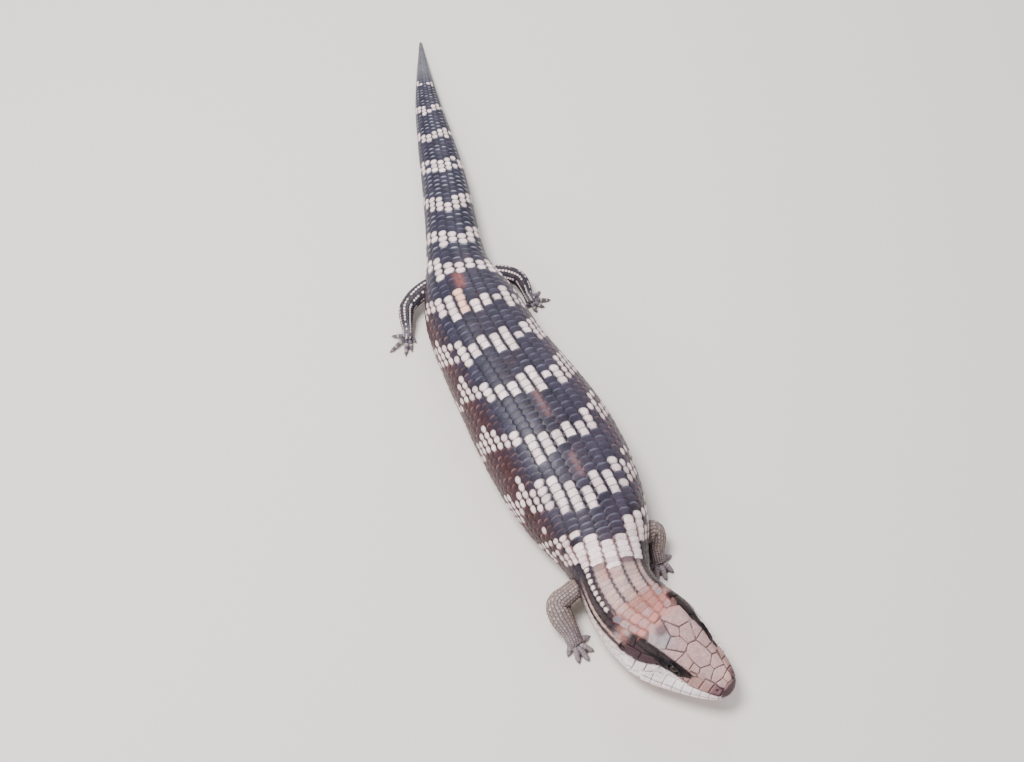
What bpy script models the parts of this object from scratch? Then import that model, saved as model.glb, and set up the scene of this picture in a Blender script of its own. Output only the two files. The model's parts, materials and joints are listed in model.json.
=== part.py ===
"""A blue-tongued skink at life size, in the still pose of the photograph, as separate closed solids.

All sizes below are millimetres, and the mesh maker turns them into metres. The animal lies along +Y with its head
toward -Y and its belly on z = 0. The body is one surface, swept along a spine that is measured back from the tip of
the snout, and each length of it is one node, with a thin gap to the next.
"""

import math

import bmesh
import bpy
import numpy as np
from mathutils import Matrix, Vector

for old in list(bpy.data.objects):
    bpy.data.objects.remove(old)
SKINK = bpy.data.collections.new("blue_tongued_skink")
CUTTERS = bpy.data.collections.new("cutters")
bpy.context.scene.collection.children.link(SKINK)
bpy.context.scene.collection.children.link(CUTTERS)

# The spine: distance back from the snout, and the heading toward the tail in degrees from +Y toward +X.
GAP = 0.3
TAIL_END = 486.0
ORIGIN_S = 192.7
HEADING_S = [0, 50, 62, 74, 88, 102, 114, 132, 152, 171, 192, 212, 233, 254, 266, 279, 293, 305, 318, 330, 355, 382,
             410, 439, 465, 486]
HEADING = [-29, -29, -21, -5.5, 6, 5.4, -1, -4.8, -5, -6.2, -7.6, -7.6, -5.4, -1.2, 1.6, 3.4, 7, 11.4, 13.2, 13.6,
           12.2, 10, 10.2, 13, 15, 15]

# The trunk, neck and tail: half width, top and underside at each station. An underside below zero is cut flat.
BODY_S = [50, 58, 67, 80, 96, 105, 114, 132, 152, 171, 192, 212, 233, 254, 266, 279, 293, 305, 330, 355, 382, 410,
          439, 465, 486]
HALF_WIDTH = [23.5, 22.6, 21, 19.4, 22.6, 26.4, 29.4, 34, 36.7, 37, 35.7, 33.4, 31.2, 29.5, 28.4, 25.4, 21, 18.1,
              15.8, 14.5, 12.7, 10.2, 6.9, 3.5, 0.8]
TOP = [37.2, 38, 38.6, 39.4, 41, 42.2, 43.5, 45.6, 47, 47.4, 46.3, 44.3, 42, 39.8, 38.2, 35.4, 31.8, 29, 26, 23.4,
       20.2, 16.3, 11.4, 6.2, 1.8]
UNDER = [5.6, 4.8, 3.8, 2, -0.3, -0.8, -1, -1.3, -1.4, -1.4, -1.4, -1.3, -1.2, -1, -0.9, -0.8, -0.7, -0.6, -0.5,
         -0.5, -0.4, -0.4, -0.3, -0.2, -0.1]

# The head: half widths and heights of its ridges at each distance back from the tip of the snout.
HEAD_D = [0, 1.2, 3, 6, 10, 15, 20, 27, 35, 45, 58, 80]
NOSE_Z = 15.6
CROWN_Z = [NOSE_Z, 19.2, 22, 24.2, 25.9, 27.8, 29.6, 32, 34.4, 36.5, 38, 39.4]
BROW_X = [0, 2.5, 3.8, 5.2, 6.6, 8.2, 9.7, 11.8, 13.8, 15.6, 16, 14]
BROW_Z = [NOSE_Z, 18.6, 21.2, 23.1, 24.6, 26.3, 27.9, 30, 31.7, 33, 34, 35]
CHEEK_X = [0, 3.9, 5.9, 7.9, 9.8, 11.7, 13, 14.3, 17.8, 20.4, 20, 18]
CHEEK_Z = [NOSE_Z, 16.6, 18.8, 20.2, 21, 21.8, 22.4, 23.2, 24.3, 25.3, 26, 26]
LIP_X = [0, 4.5, 6.9, 9.3, 11.7, 14.1, 16.1, 18.6, 21.1, 23.3, 22.6, 19.3]
LIP_Z = [NOSE_Z, 15, 15.5, 16, 16.3, 16.5, 16.6, 16.6, 16.9, 17.6, 18, 18]
JAW_X = [0, 3.9, 6.2, 8.6, 11, 13.5, 15.7, 18.5, 21.4, 23.6, 22.4, 19]
JAW_Z = [NOSE_Z, 13, 12.8, 12.6, 12.3, 12, 11.7, 11.5, 11.6, 12, 12, 11]
THROAT_X = [0, 2.6, 4.5, 6.5, 8.4, 10.3, 12, 14.3, 16.4, 17.8, 17, 14]
THROAT_Z = [NOSE_Z, 11.6, 11, 10.4, 9.8, 9.2, 8.7, 8.1, 7.6, 6.6, 5.8, 3.4]
CHIN_Z = [NOSE_Z, 11.3, 10.6, 9.8, 9.1, 8.4, 7.8, 7.1, 6.5, 5.7, 4.8, 2]
RIDGE_V = [0, 0.26, 0.42, 0.54, 0.64, 0.78, 1]
BLEND = (50, 78)

# The mouth in side view: the line of the lips, then the back edge of the lower jaw.
MOUTH = [(-6, 14.6), (0, 14.7), (1.2, 15), (3, 15.5), (6, 16), (10, 16.3), (15, 16.5), (27, 16.6), (34, 16.8),
         (38.5, 17.6)]
JAW_BACK = [(43, 14), (47.5, 9), (49, -3)]
SLAB_HALF = 40

# Places on the head by distance back, distance to each side and height, with radii along, across and up. The flanks
# of the head flare this many degrees from front to back, and the eyes, ears and nostrils face out from them.
FLARE = 12
EYE = (27.7, 10.9, 26.3)
EYE_RADII = (3.4, 4.1, 3)
LID = (28, 10.9, 25.8)
LID_RADII = (5.4, 3.8, 4.2)
EAR = (54.5, 22.4, 20.5)
EAR_RADII = (1.5, 3, 2.5)
NOSTRIL = (5.2, 7.6, 19.6)
NOSTRIL_RADII = (0.9, 1.2, 0.7)

# The head's shields, as corners: the distance back, and the share of the way down the side from the crown to the
# chin. A shield on the midline lists its left half only, and every other one stands on both sides.
SHIELD_LIFT = 0.35
SHIELD_EDGE = 0.25
SHIELD_ROOT = 0.9
SHIELD_SEAM = 0.22
SHIELD_STEP = 4
SHARE_SPAN = 50
BROAD_SHIELD = 4.6
BROAD_RING = 0.55
MIDLINE_SHIELDS = [[(0.8, 0.18), (2.5, 0.21), (3.2, 0.07)], [(7, 0.03), (8, 0.2), (10.2, 0.205), (12.2, 0.03)],
                   [(15.6, 0.02), (17.9, 0.125), (22, 0.115), (27.4, 0.085), (29.2, 0.02)],
                   [(35.1, 0.012), (38, 0.05), (44.6, 0.012)]]
SHIELDS = [[(3.6, 0), (3.1, 0.2), (5.2, 0.235), (7.6, 0.2), (6.6, 0)],
           [(12.6, 0), (10.6, 0.21), (16.4, 0.215), (17.6, 0.13), (15.2, 0)],
           [(17.9, 0.135), (16.9, 0.215), (21.4, 0.23), (21.6, 0.12)],
           [(21.9, 0.12), (21.7, 0.232), (28.8, 0.236), (27.8, 0.09)],
           [(28.1, 0.1), (29.1, 0.236), (35, 0.225), (36, 0.17)],
           [(29.6, 0), (28.2, 0.085), (36, 0.165), (37.8, 0.06), (34.8, 0)],
           [(38.2, 0.06), (36.3, 0.17), (38.4, 0.205), (45, 0.205), (48.2, 0.12), (47.6, 0), (44.9, 0.015)],
           [(48, 0), (48.6, 0.12), (46, 0.2), (50.2, 0.225), (54.2, 0.2), (53.6, 0)],
           [(3.2, 0.27), (7.8, 0.235), (8.2, 0.44), (3.6, 0.44)],
           [(8.2, 0.225), (12.6, 0.235), (13, 0.44), (8.6, 0.44)],
           [(13, 0.24), (17, 0.28), (18.6, 0.3), (19, 0.44), (13.4, 0.44)],
           [(18.9, 0.285), (22, 0.285), (22.4, 0.36), (21.6, 0.4), (19.4, 0.42)],
           [(37, 0.27), (38.4, 0.215), (44.8, 0.215), (49.8, 0.235), (49.2, 0.325), (43.8, 0.31)],
           [(50.3, 0.235), (54.6, 0.25), (53.2, 0.34), (49.7, 0.325)],
           [(34.4, 0.33), (35.8, 0.275), (41.6, 0.31), (44.6, 0.32), (45, 0.42), (39.8, 0.385)],
           [(45, 0.325), (53.2, 0.35), (52, 0.435), (45.4, 0.425)],
           [(34, 0.37), (39.6, 0.395), (39.8, 0.49), (36, 0.45)],
           [(40, 0.4), (45.4, 0.435), (45.6, 0.52), (40.2, 0.495)],
           [(45.9, 0.44), (52, 0.445), (51.6, 0.53), (46, 0.525)]]

# Rows of shields: the edges from one to the next by distance back, and the shares at the top and foot of the row.
BROW_ROW = ([17.2, 20.4, 23.8, 27.2, 30.6, 34], 0.247, 0.277)
UPPER_LIP = ([3.3, 7.2, 11.2, 15.4, 19.8, 24.4, 29.4, 35], 0.45, 0.53)
LOWER_LIP = ([3.3, 7.2, 11.2, 15.4, 19.8, 24.4, 29.4, 35], 0.55, 0.62)

# The lengths of the body after the head: name, start, end, number of rings and points in each ring.
LENGTHS = [("neck", 58, 88, 5, 44), ("torso_front", 88, 140, 7, 44), ("torso_mid", 140, 215, 8, 44),
           ("torso_rear", 215, 293, 9, 44), ("tail_base", 293, 345, 7, 28), ("tail_mid", 345, 410, 7, 24)]
TIP_START = 410
TIP_RINGS = [418, 427, 436, 445, 454, 462, 470, 478, 482.5, 485]

# Limb paths: x, y, z, half width and half height at each point, from inside the body to the wrist or ankle.
FORELEG_RIGHT = [(-6, -101, 16, 5.6, 5.6), (-13, -103.8, 15.8, 5.4, 5.4), (-20, -106, 15, 5.5, 5.4),
                 (-26.4, -108.6, 13.2, 6.3, 6), (-27, -115, 10.8, 6.5, 6), (-25.2, -122.8, 7.4, 4.9, 4.5)]
FORELEG_LEFT = [(20, -91, 16, 6.2, 6), (28, -88.8, 16, 6.1, 5.8), (35.6, -88, 14, 5.9, 5.8),
                (36.2, -92, 11.4, 5.5, 5.2), (34.8, -96.2, 8, 4.5, 4.2)]
HINDLEG_RIGHT = [(-12, 101, 13, 5.6, 5.6), (-22, 101, 12.4, 5.5, 5.6), (-31.8, 98.6, 11, 5.2, 5.2),
                 (-39.4, 93.8, 9.4, 4.7, 4.6), (-42.2, 87.2, 7.4, 4, 3.9), (-43.4, 82, 5.6, 3.1, 3.1)]
HINDLEG_LEFT = [(5, 97.5, 13, 5.4, 5.4), (14, 96.4, 12.4, 5.2, 5.4), (22, 94, 11, 5.2, 5.2),
                (28, 89.6, 9.4, 4.6, 4.5), (29.6, 84.2, 7.4, 3.8, 3.8), (29.8, 80.4, 5.6, 3, 3.1)]

# Feet: the middle of the palm, then the root and the claw tip of each toe.
FORE_TOE = 1.6
FORE_CLAW = 2
HIND_TOE = 1.25
HIND_CLAW = 1.9
FOOT_FORE_RIGHT = ((-24.3, -128.2, 2.9), [((-20.4, -127, 2.5), (-15, -126.3)), ((-21.6, -130.2, 2.5), (-16.3, -135)),
                   ((-23.4, -131.2, 2.5), (-20.6, -139.2)), ((-25.5, -131, 2.5), (-26.2, -138.6)),
                   ((-27.4, -128.6, 2.5), (-30.4, -133))])
FOOT_FORE_LEFT = ((34.2, -101.8, 2.9), [((37.4, -100.2, 2.5), (43, -99.6)), ((36.6, -103.4, 2.5), (40, -109.4)),
                  ((34.4, -104.4, 2.5), (34.6, -112.2)), ((32.2, -103.8, 2.5), (29.8, -110.6)),
                  ((30.8, -101.6, 2.5), (26.6, -104.4))])
FOOT_HIND_RIGHT = ((-44.4, 79.4, 2.7), [((-42.6, 78.2, 2.2), (-40.6, 74.4)), ((-44.2, 76.8, 2.2), (-45.2, 69.8)),
                   ((-45.8, 77, 2.2), (-49.6, 68.4)), ((-47, 78.4, 2.2), (-57.4, 74)),
                   ((-46.8, 80.6, 2.2), (-53, 84.2))])
FOOT_HIND_LEFT = ((30.6, 77.4, 2.7), [((28.8, 76.2, 2.2), (26.4, 73)), ((30.2, 75, 2.2), (31.6, 68.8)),
                  ((32, 75, 2.2), (37.2, 70.8)), ((33.4, 76.4, 2.2), (42.2, 74.6)),
                  ((33.2, 78.8, 2.2), (38.8, 82.4))])

COLOURS = {
    "head": (0.30, 0.25, 0.21), "lower_jaw": (0.78, 0.72, 0.68), "neck": (0.45, 0.37, 0.30),
    "torso_front": (0.16, 0.13, 0.13), "torso_mid": (0.10, 0.09, 0.10), "torso_rear": (0.13, 0.11, 0.12),
    "tail_base": (0.14, 0.13, 0.14), "tail_mid": (0.11, 0.11, 0.12), "tail_tip": (0.14, 0.15, 0.17),
    "eye": (0.02, 0.015, 0.01), "foreleg": (0.27, 0.25, 0.23), "forefoot": (0.42, 0.43, 0.43),
    "hindleg": (0.10, 0.11, 0.13), "hindfoot": (0.24, 0.25, 0.27),
}


def smooth(xs, ys, x):
    """Values at x of a cubic curve through (xs, ys), with its slopes held back so that it never overshoots."""
    xs = np.asarray(xs, float)
    ys = np.asarray(ys, float)
    step = np.diff(xs)
    rise = np.diff(ys) / step
    slope = np.zeros(len(xs))
    same = rise[:-1] * rise[1:] > 0
    one = 2 * step[1:] + step[:-1]
    two = step[1:] + 2 * step[:-1]
    safe = np.where(same, rise[:-1], 1)
    next_safe = np.where(same, rise[1:], 1)
    slope[1:-1] = np.where(same, (one + two) / (one / safe + two / next_safe), 0)
    slope[0] = rise[0]
    slope[-1] = rise[-1]
    x = np.clip(np.asarray(x, float), xs[0], xs[-1])
    i = np.clip(np.searchsorted(xs, x, side="right") - 1, 0, len(step) - 1)
    t = (x - xs[i]) / step[i]
    return ((1 + 2 * t) * (1 - t) ** 2 * ys[i] + t * (1 - t) ** 2 * step[i] * slope[i]
            + t * t * (3 - 2 * t) * ys[i + 1] - t * t * (1 - t) * step[i] * slope[i + 1])


FINE_S = np.arange(0, TAIL_END + 0.25, 0.25)
FINE_H = np.radians(smooth(HEADING_S, HEADING, FINE_S))
FINE_X = np.concatenate([[0], np.cumsum(0.125 * (np.sin(FINE_H[1:]) + np.sin(FINE_H[:-1])))])
FINE_Y = np.concatenate([[0], np.cumsum(0.125 * (np.cos(FINE_H[1:]) + np.cos(FINE_H[:-1])))])
FINE_X -= np.interp(ORIGIN_S, FINE_S, FINE_X)
FINE_Y -= np.interp(ORIGIN_S, FINE_S, FINE_Y)


def place(s, side, z):
    """Points in space at distance s along the spine, this far to the animal's left, and this high."""
    h = np.interp(s, FINE_S, FINE_H)
    x = np.interp(s, FINE_S, FINE_X) + side * np.cos(h)
    y = np.interp(s, FINE_S, FINE_Y) - side * np.sin(h)
    return np.stack([x, y, z + 0 * x], axis=-1)


def head_section(d, v):
    """Side and height of the head at distance d: a smooth closed curve through its ridges, v from -1 to 1 by way
    of the crown at 0."""
    u = math.sqrt(d)
    roots = np.sqrt(HEAD_D)
    sides = [0] + [float(smooth(roots, row, u)) for row in (BROW_X, CHEEK_X, LIP_X, JAW_X, THROAT_X)] + [0]
    rows = (CROWN_Z, BROW_Z, CHEEK_Z, LIP_Z, JAW_Z, THROAT_Z, CHIN_Z)
    heights = [float(smooth(roots, row, u)) for row in rows]
    left = np.array(RIDGE_V)
    knots = np.concatenate([left[-3:-1] - 2, -left[:0:-1], left[:-1], [1], 2 - left[-2:-4:-1]])
    px = np.array(sides)
    pz = np.array(heights)
    px = np.concatenate([px[-3:-1], -px[:0:-1], px[:-1], [0], -px[-2:-4:-1]])
    pz = np.concatenate([pz[-3:-1], pz[:0:-1], pz[:-1], [pz[-1]], pz[-2:-4:-1]])
    gap = np.diff(knots)
    rise = np.stack([np.diff(px), np.diff(pz)]) / gap
    slope = np.zeros((2, len(knots)))
    slope[:, 1:-1] = (rise[:, :-1] * gap[1:] + rise[:, 1:] * gap[:-1]) / (gap[1:] + gap[:-1])
    i = np.clip(np.searchsorted(knots, v, side="right") - 1, 1, len(gap) - 2)
    t = (v - knots[i]) / gap[i]
    points = np.stack([px, pz])
    return ((1 + 2 * t) * (1 - t) ** 2 * points[:, i] + t * (1 - t) ** 2 * gap[i] * slope[:, i]
            + t * t * (3 - 2 * t) * points[:, i + 1] - t * t * (1 - t) * gap[i] * slope[:, i + 1])


def body_section(s, v, grow=0.0):
    """Side and height of the trunk, neck or tail: a full oval, squarer below, widest a little under half way."""
    half = float(smooth(BODY_S, HALF_WIDTH, s)) + grow
    top = float(smooth(BODY_S, TOP, s)) + grow
    under = float(smooth(BODY_S, UNDER, s)) - grow
    level = under + 0.40 * (top - under)
    turn = np.pi * v
    sine = np.sin(turn)
    cosine = np.cos(turn)
    power = np.where(cosine > 0, 2 / 2.25, 2 / 2.6)
    side = half * np.sign(sine) * np.abs(sine) ** power
    reach = np.where(cosine > 0, top - level, level - under)
    return np.stack([side, level + reach * np.sign(cosine) * np.abs(cosine) ** power])


def ring(s, count, grow=0.0):
    """One closed ring of the body at distance s from the snout, resting on z = 0 where it reaches the floor."""
    v = (np.arange(count) * 2 / count + 1) % 2 - 1
    share = np.clip((s - BLEND[0]) / (BLEND[1] - BLEND[0]), 0, 1)
    share = share * share * (3 - 2 * share)
    section = body_section(max(s, BODY_S[0]), v, grow) * share if share > 0 else 0
    if share < 1:
        section = section + head_section(s, v) * (1 - share)
    floor = 0 if grow == 0 else -5
    return place(s, section[0], np.maximum(section[1], floor))


def put(name, work, helper):
    """Makes an object of a finished bmesh, in the skink's collection, or as a helper among the cutters."""
    bmesh.ops.recalc_face_normals(work, faces=work.faces)
    mesh = bpy.data.meshes.new(name)
    work.to_mesh(mesh)
    work.free()
    made = bpy.data.objects.new(name, mesh)
    (CUTTERS if helper else SKINK).objects.link(made)
    made.hide_render = helper
    if helper:
        made.display_type = "WIRE"
    return made


def loft(name, rings, helper=False):
    """Joins a list of rings of equal count, and closes both ends flat. A ring of one point is a pole."""
    work = bmesh.new()
    rows = [[work.verts.new(point / 1000) for point in r] for r in rings]
    count = max(len(row) for row in rows)
    for here, after in zip(rows, rows[1:]):
        for k in range(count):
            n = (k + 1) % count
            if len(here) == 1:
                work.faces.new((here[0], after[n], after[k]))
            elif len(after) == 1:
                work.faces.new((here[k], here[n], after[0]))
            else:
                work.faces.new((here[k], here[n], after[n], after[k]))
    for end in (rows[0], rows[-1]):
        if len(end) > 1:
            work.faces.new(end)
    return put(name, work, helper)


def largest_shell(work):
    """Drops every closed surface of a mesh but the one with the most area."""
    left = set(work.faces)
    shells = []
    while left:
        stack = [left.pop()]
        shell = list(stack)
        while stack:
            for edge in stack.pop().edges:
                for face in edge.link_faces:
                    if face in left:
                        left.discard(face)
                        stack.append(face)
                        shell.append(face)
        shells.append(shell)
    shells.sort(key=lambda shell: -sum(face.calc_area() for face in shell))
    for shell in shells[1:]:
        bmesh.ops.delete(work, geom=shell, context="FACES")
    loose = [vertex for vertex in work.verts if not vertex.link_faces]
    bmesh.ops.delete(work, geom=loose, context="VERTS")


def combine(made, operation, others):
    """Joins the helpers to an object, or cuts them from it, in one Boolean, and removes them."""
    operands = bpy.data.collections.new("operands")
    operands.hide_render = True
    CUTTERS.children.link(operands)
    for other in others:
        operands.objects.link(other)
    step = made.modifiers.new("boolean", "BOOLEAN")
    step.operation = operation
    step.solver = "EXACT"
    step.use_self = True
    step.operand_type = "COLLECTION"
    step.collection = operands
    bpy.context.view_layer.update()
    graph = bpy.context.evaluated_depsgraph_get()
    mesh = bpy.data.meshes.new_from_object(made.evaluated_get(graph))
    made.modifiers.clear()
    made.data = mesh
    work = bmesh.new()
    work.from_mesh(mesh)
    bmesh.ops.dissolve_degenerate(work, dist=1e-7, edges=work.edges)
    bmesh.ops.triangulate(work, faces=work.faces)
    largest_shell(work)
    work.to_mesh(mesh)
    work.free()
    for other in others:
        bpy.data.objects.remove(other)
    bpy.data.collections.remove(operands)


def ellipsoid(name, centre, radii, turn=0.0, around=20, rows=10, helper=True):
    """A sphere stretched to three radii: the first along the heading given in degrees, the second across it."""
    work = bmesh.new()
    bmesh.ops.create_uvsphere(work, u_segments=around, v_segments=rows, radius=0.001)
    shape = Matrix.Diagonal((radii[1], radii[0], radii[2], 1))
    turned = Matrix.Rotation(-math.radians(turn), 4, "Z")
    bmesh.ops.transform(work, matrix=Matrix.Translation(Vector(centre) / 1000) @ turned @ shape, verts=work.verts)
    return put(name, work, helper)


def curve(points, count):
    """Evenly parted points on a Catmull-Rom curve through the given rows."""
    points = np.asarray(points, float)
    padded = np.concatenate([2 * points[:1] - points[1:2], points, 2 * points[-1:] - points[-2:-1]])
    at = np.linspace(0, len(points) - 1, count)
    i = np.clip(at.astype(int), 0, len(points) - 2)
    t = (at - i)[:, None]
    a, b, c, d = (padded[i + k] for k in range(4))
    return b + 0.5 * t * (c - a + t * (2 * a - 5 * b + 4 * c - d + t * (3 * (b - c) + d - a)))


def tube(name, rows, stations, around, tip=None, helper=True, first=None):
    """A limb or a toe: ovals along a curve through rows of x, y, z, half width and half height. Tip None closes it
    flat, and a length in millimetres closes it round. First, where it is given, is the way the first oval faces."""
    rows = curve(rows, stations)
    centre = rows[:, :3]
    ahead = np.gradient(centre, axis=0)
    if first is not None:
        ahead[0] = first
    ahead /= np.linalg.norm(ahead, axis=1)[:, None]
    side = np.cross(ahead, [0, 0, 1.0])
    side /= np.linalg.norm(side, axis=1)[:, None]
    up = np.cross(side, ahead)
    a = np.arange(around) * 2 * math.pi / around
    rings = [p + r[3] * np.cos(a)[:, None] * n + r[4] * np.sin(a)[:, None] * u
             for p, r, n, u in zip(centre, rows, side, up)]
    if tip:
        share = math.sqrt(0.5)
        rings.append(centre[-1] + share * (tip * ahead[-1] + rings[-1] - centre[-1]))
        rings.append(centre[-1:] + tip * ahead[-1])
    return loft(name, rings, helper), centre[-1], ahead[-1]


def slab(name, line):
    """A block right across the head, below a line of its side view."""
    work = bmesh.new()
    start = place(0.0, -SLAB_HALF, 0.0)
    ahead = place(1.0, -SLAB_HALF, 0.0) - start
    across = place(0.0, SLAB_HALF, 0.0) - start
    outline = [(line[0][0], line[-1][1]), *line]
    corners = [work.verts.new((start + d * ahead + [0, 0, z]) / 1000) for d, z in outline]
    side = work.faces.new(corners)
    drawn = bmesh.ops.extrude_face_region(work, geom=[side])["geom"]
    moved = [item for item in drawn if isinstance(item, bmesh.types.BMVert)]
    bmesh.ops.translate(work, verts=moved, vec=Vector(across / 1000))
    return put(name, work, True)


def head_ball(name, spot, radii, side, around=20, rows=10, helper=True):
    """An ellipsoid at a place on one side of the head, turned with that side's flank."""
    d, across, height = spot
    centre = place(float(d), float(side * across), float(height))
    return ellipsoid(name, centre, radii, HEADING[0] + side * FLARE, around, rows, helper)


def on_head(d, v):
    """A point of the head's surface and the way out of it."""
    (x, after_x), (z, after_z) = head_section(d, np.array([v, v + 0.004]))
    (ahead_x,), (ahead_z,) = head_section(d + 0.1, np.array([v]))
    here = place(d, x, z)
    out = np.cross(place(d + 0.1, ahead_x, ahead_z) - here, place(d, after_x, after_z) - here)
    out *= np.sign(out @ (here - place(d, 0.0, NOSE_Z)))
    return here, out / np.linalg.norm(out)


def plate(corners):
    """One shield: a slab that follows the head inside the given corners, short of its seams, with its root sunk."""
    corners = np.array(corners, float) * (1, SHARE_SPAN)
    edge = []
    for a, b in zip(corners, np.roll(corners, -1, axis=0)):
        steps = max(1, round(np.linalg.norm(b - a) / SHIELD_STEP))
        edge += [a + (b - a) * k / steps for k in range(steps)]
    edge = np.array(edge)
    middle = edge.mean(axis=0)
    reach = np.linalg.norm(edge - middle, axis=1)[:, None]
    edge = middle + (edge - middle) * (1 - SHIELD_SEAM / reach)
    levels = [(0, -SHIELD_ROOT), (1, -SHIELD_ROOT), (1, SHIELD_EDGE)]
    if reach.max() > BROAD_SHIELD:
        levels.append((BROAD_RING, SHIELD_LIFT))
    levels.append((0, SHIELD_LIFT))
    rings = []
    for share, lift in levels:
        row = []
        for d, across in (middle + (edge - middle) * share)[:1 if share == 0 else None]:
            here, out = on_head(d, across / SHARE_SPAN)
            row.append(here + lift * out)
        rings.append(np.array(row))
    return loft("shield", rings, helper=True)


def both_sides(outlines):
    return [plate([(d, sign * v) for d, v in outline]) for outline in outlines for sign in (1, -1)]


def row_of(edges, top, foot):
    """The outlines of a row of four-cornered shields."""
    return [[(a, top), (a, foot), (b, foot), (b, top)] for a, b in zip(edges, edges[1:])]


def build_head():
    """The head and the lower jaw: one surface, parted along the lips, with sockets, lids, ears and nostrils."""
    stations = np.concatenate([np.linspace(0.4, 5.4, 13) ** 2, np.linspace(32.8, 58 - GAP / 2, 8)])
    rings = [place(0.0, 0.0, NOSE_Z)[None]] + [ring(s, 44) for s in stations]
    head = loft("head", rings)
    jaw = loft("lower_jaw", rings)
    line = np.array(MOUTH + JAW_BACK, float)
    shift = np.gradient(line, axis=0)
    shift /= np.linalg.norm(shift, axis=1)[:, None]
    wide = line + GAP * np.stack([-shift[:, 1], shift[:, 0]], axis=-1)
    combine(jaw, "INTERSECT", [slab("jaw_side", line)])
    combine(head, "DIFFERENCE", [slab("jaw_gap", wide)])
    lids = [head_ball("lid", LID, LID_RADII, side) for side in (1, -1)]
    plates = [plate(half + [(d, -v) for d, v in half[::-1]]) for half in MIDLINE_SHIELDS]
    plates += both_sides(SHIELDS + row_of(*BROW_ROW) + row_of(*UPPER_LIP))
    combine(head, "UNION", lids + plates)
    combine(jaw, "UNION", both_sides(row_of(*LOWER_LIP)))
    cutters = []
    for side in (1, -1):
        cutters.append(head_ball("socket", EYE, [radius + GAP for radius in EYE_RADII], side, 16, 8))
        cutters.append(head_ball("ear", EAR, EAR_RADII, side, 12, 6))
        cutters.append(head_ball("nostril", NOSTRIL, NOSTRIL_RADII, side, 10, 6))
    combine(head, "DIFFERENCE", cutters)
    head_ball("eye_left", EYE, EYE_RADII, 1, 16, 8, False)
    head_ball("eye_right", EYE, EYE_RADII, -1, 16, 8, False)


def build_body():
    """The neck, the trunk and the tail, each a length of the one swept surface."""
    for name, start, end, count, around in LENGTHS:
        stations = np.linspace(start + GAP / 2, end - GAP / 2, count)
        loft(name, [ring(s, around) for s in stations])
    rings = [ring(s, 20) for s in [TIP_START + GAP / 2] + TIP_RINGS]
    loft("tail_tip", rings + [ring(TAIL_END, 20).mean(axis=0)[None]])


def build_limb(leg, foot, path, plan, toe, claw):
    """One leg, cut to lie against the body, and its foot: a palm, five toes and their claws."""
    made, wrist, ahead = tube(leg, path, 12, 14, helper=False)
    cutter = loft("trunk", [ring(s, 44, GAP) for s in np.linspace(60, 330, 40)], helper=True)
    combine(made, "DIFFERENCE", [cutter])
    centre, toes = plan
    centre = np.array(centre)
    start = wrist + GAP * ahead
    last = np.array(path[-1], float)
    front = np.mean([np.array(root) for root, _ in toes], axis=0)
    width = 0.5 * np.linalg.norm(np.array(toes[0][0])[:2] - np.array(toes[-1][0])[:2]) + 0.6
    near = start + 1.6 * ahead
    rows = [(*start, last[3], last[4]), (*near, last[3] * 0.98, last[4] * 0.96),
            (*(0.45 * near + 0.55 * centre), 0.5 * (last[3] + width), 3.6),
            (*centre, width, 3.1), (*(0.35 * centre + 0.65 * front), width * 0.92, 2.5)]
    palm, _, _ = tube(foot, rows, 6, 12, tip=1.2, helper=False, first=ahead)
    ground = bmesh.new()
    bmesh.ops.create_cube(ground, size=0.4)
    bmesh.ops.translate(ground, verts=ground.verts, vec=(0, 0, -0.2))
    floor = put("floor", ground, True)
    pieces = []
    for root, tip in toes:
        root = np.array(root)
        tip = np.array([*tip, 0.0])
        flat = tip - root
        flat[2] = 0
        reach = np.linalg.norm(flat)
        flat /= reach
        end = root + flat * (reach - claw)
        rows = [(*(root - 2.2 * flat), toe, toe), (*(root + 0.30 * (reach - claw) * flat + [0, 0, 0.2]), toe, toe),
                (*(root + 0.7 * (reach - claw) * flat - [0, 0, 0.7]), 0.92 * toe, 0.92 * toe),
                (end[0], end[1], 0.75 * toe, 0.8 * toe, 0.8 * toe)]
        piece, last_at, along = tube("toe", rows, 5, 6, tip=0.7 * toe)
        pieces.append(piece)
        nail = [(*(last_at - 0.8 * along + [0, 0, 0.25]), 0.62 * toe, 0.62 * toe),
                (*(end + 0.45 * claw * flat - [0, 0, end[2] - 1.05]), 0.42 * toe, 0.45 * toe),
                (tip[0], tip[1], 0.3, 0.12, 0.15)]
        pieces.append(tube("claw", nail, 4, 4, tip=0.1)[0])
    combine(palm, "UNION", pieces)
    combine(palm, "DIFFERENCE", [floor])


def paint():
    """One plain material for each node, as a first colour."""
    for made in SKINK.objects:
        base = COLOURS.get(made.name) or COLOURS[made.name.rsplit("_", 1)[0]]
        skin = bpy.data.materials.new(made.name)
        skin.use_nodes = True
        shader = skin.node_tree.nodes["Principled BSDF"]
        shader.inputs["Base Color"].default_value = (*base, 1)
        shader.inputs["Roughness"].default_value = 0.15 if "eye" in made.name else 0.5
        made.data.materials.clear()
        made.data.materials.append(skin)
        made.data.shade_smooth()
        made.data.set_sharp_from_angle(angle=math.radians(40))


build_head()
build_body()
build_limb("foreleg_right", "forefoot_right", FORELEG_RIGHT, FOOT_FORE_RIGHT, FORE_TOE, FORE_CLAW)
build_limb("foreleg_left", "forefoot_left", FORELEG_LEFT, FOOT_FORE_LEFT, FORE_TOE, FORE_CLAW)
build_limb("hindleg_right", "hindfoot_right", HINDLEG_RIGHT, FOOT_HIND_RIGHT, HIND_TOE, HIND_CLAW)
build_limb("hindleg_left", "hindfoot_left", HINDLEG_LEFT, FOOT_HIND_LEFT, HIND_TOE, HIND_CLAW)
paint()
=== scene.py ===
import json
import math

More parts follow.
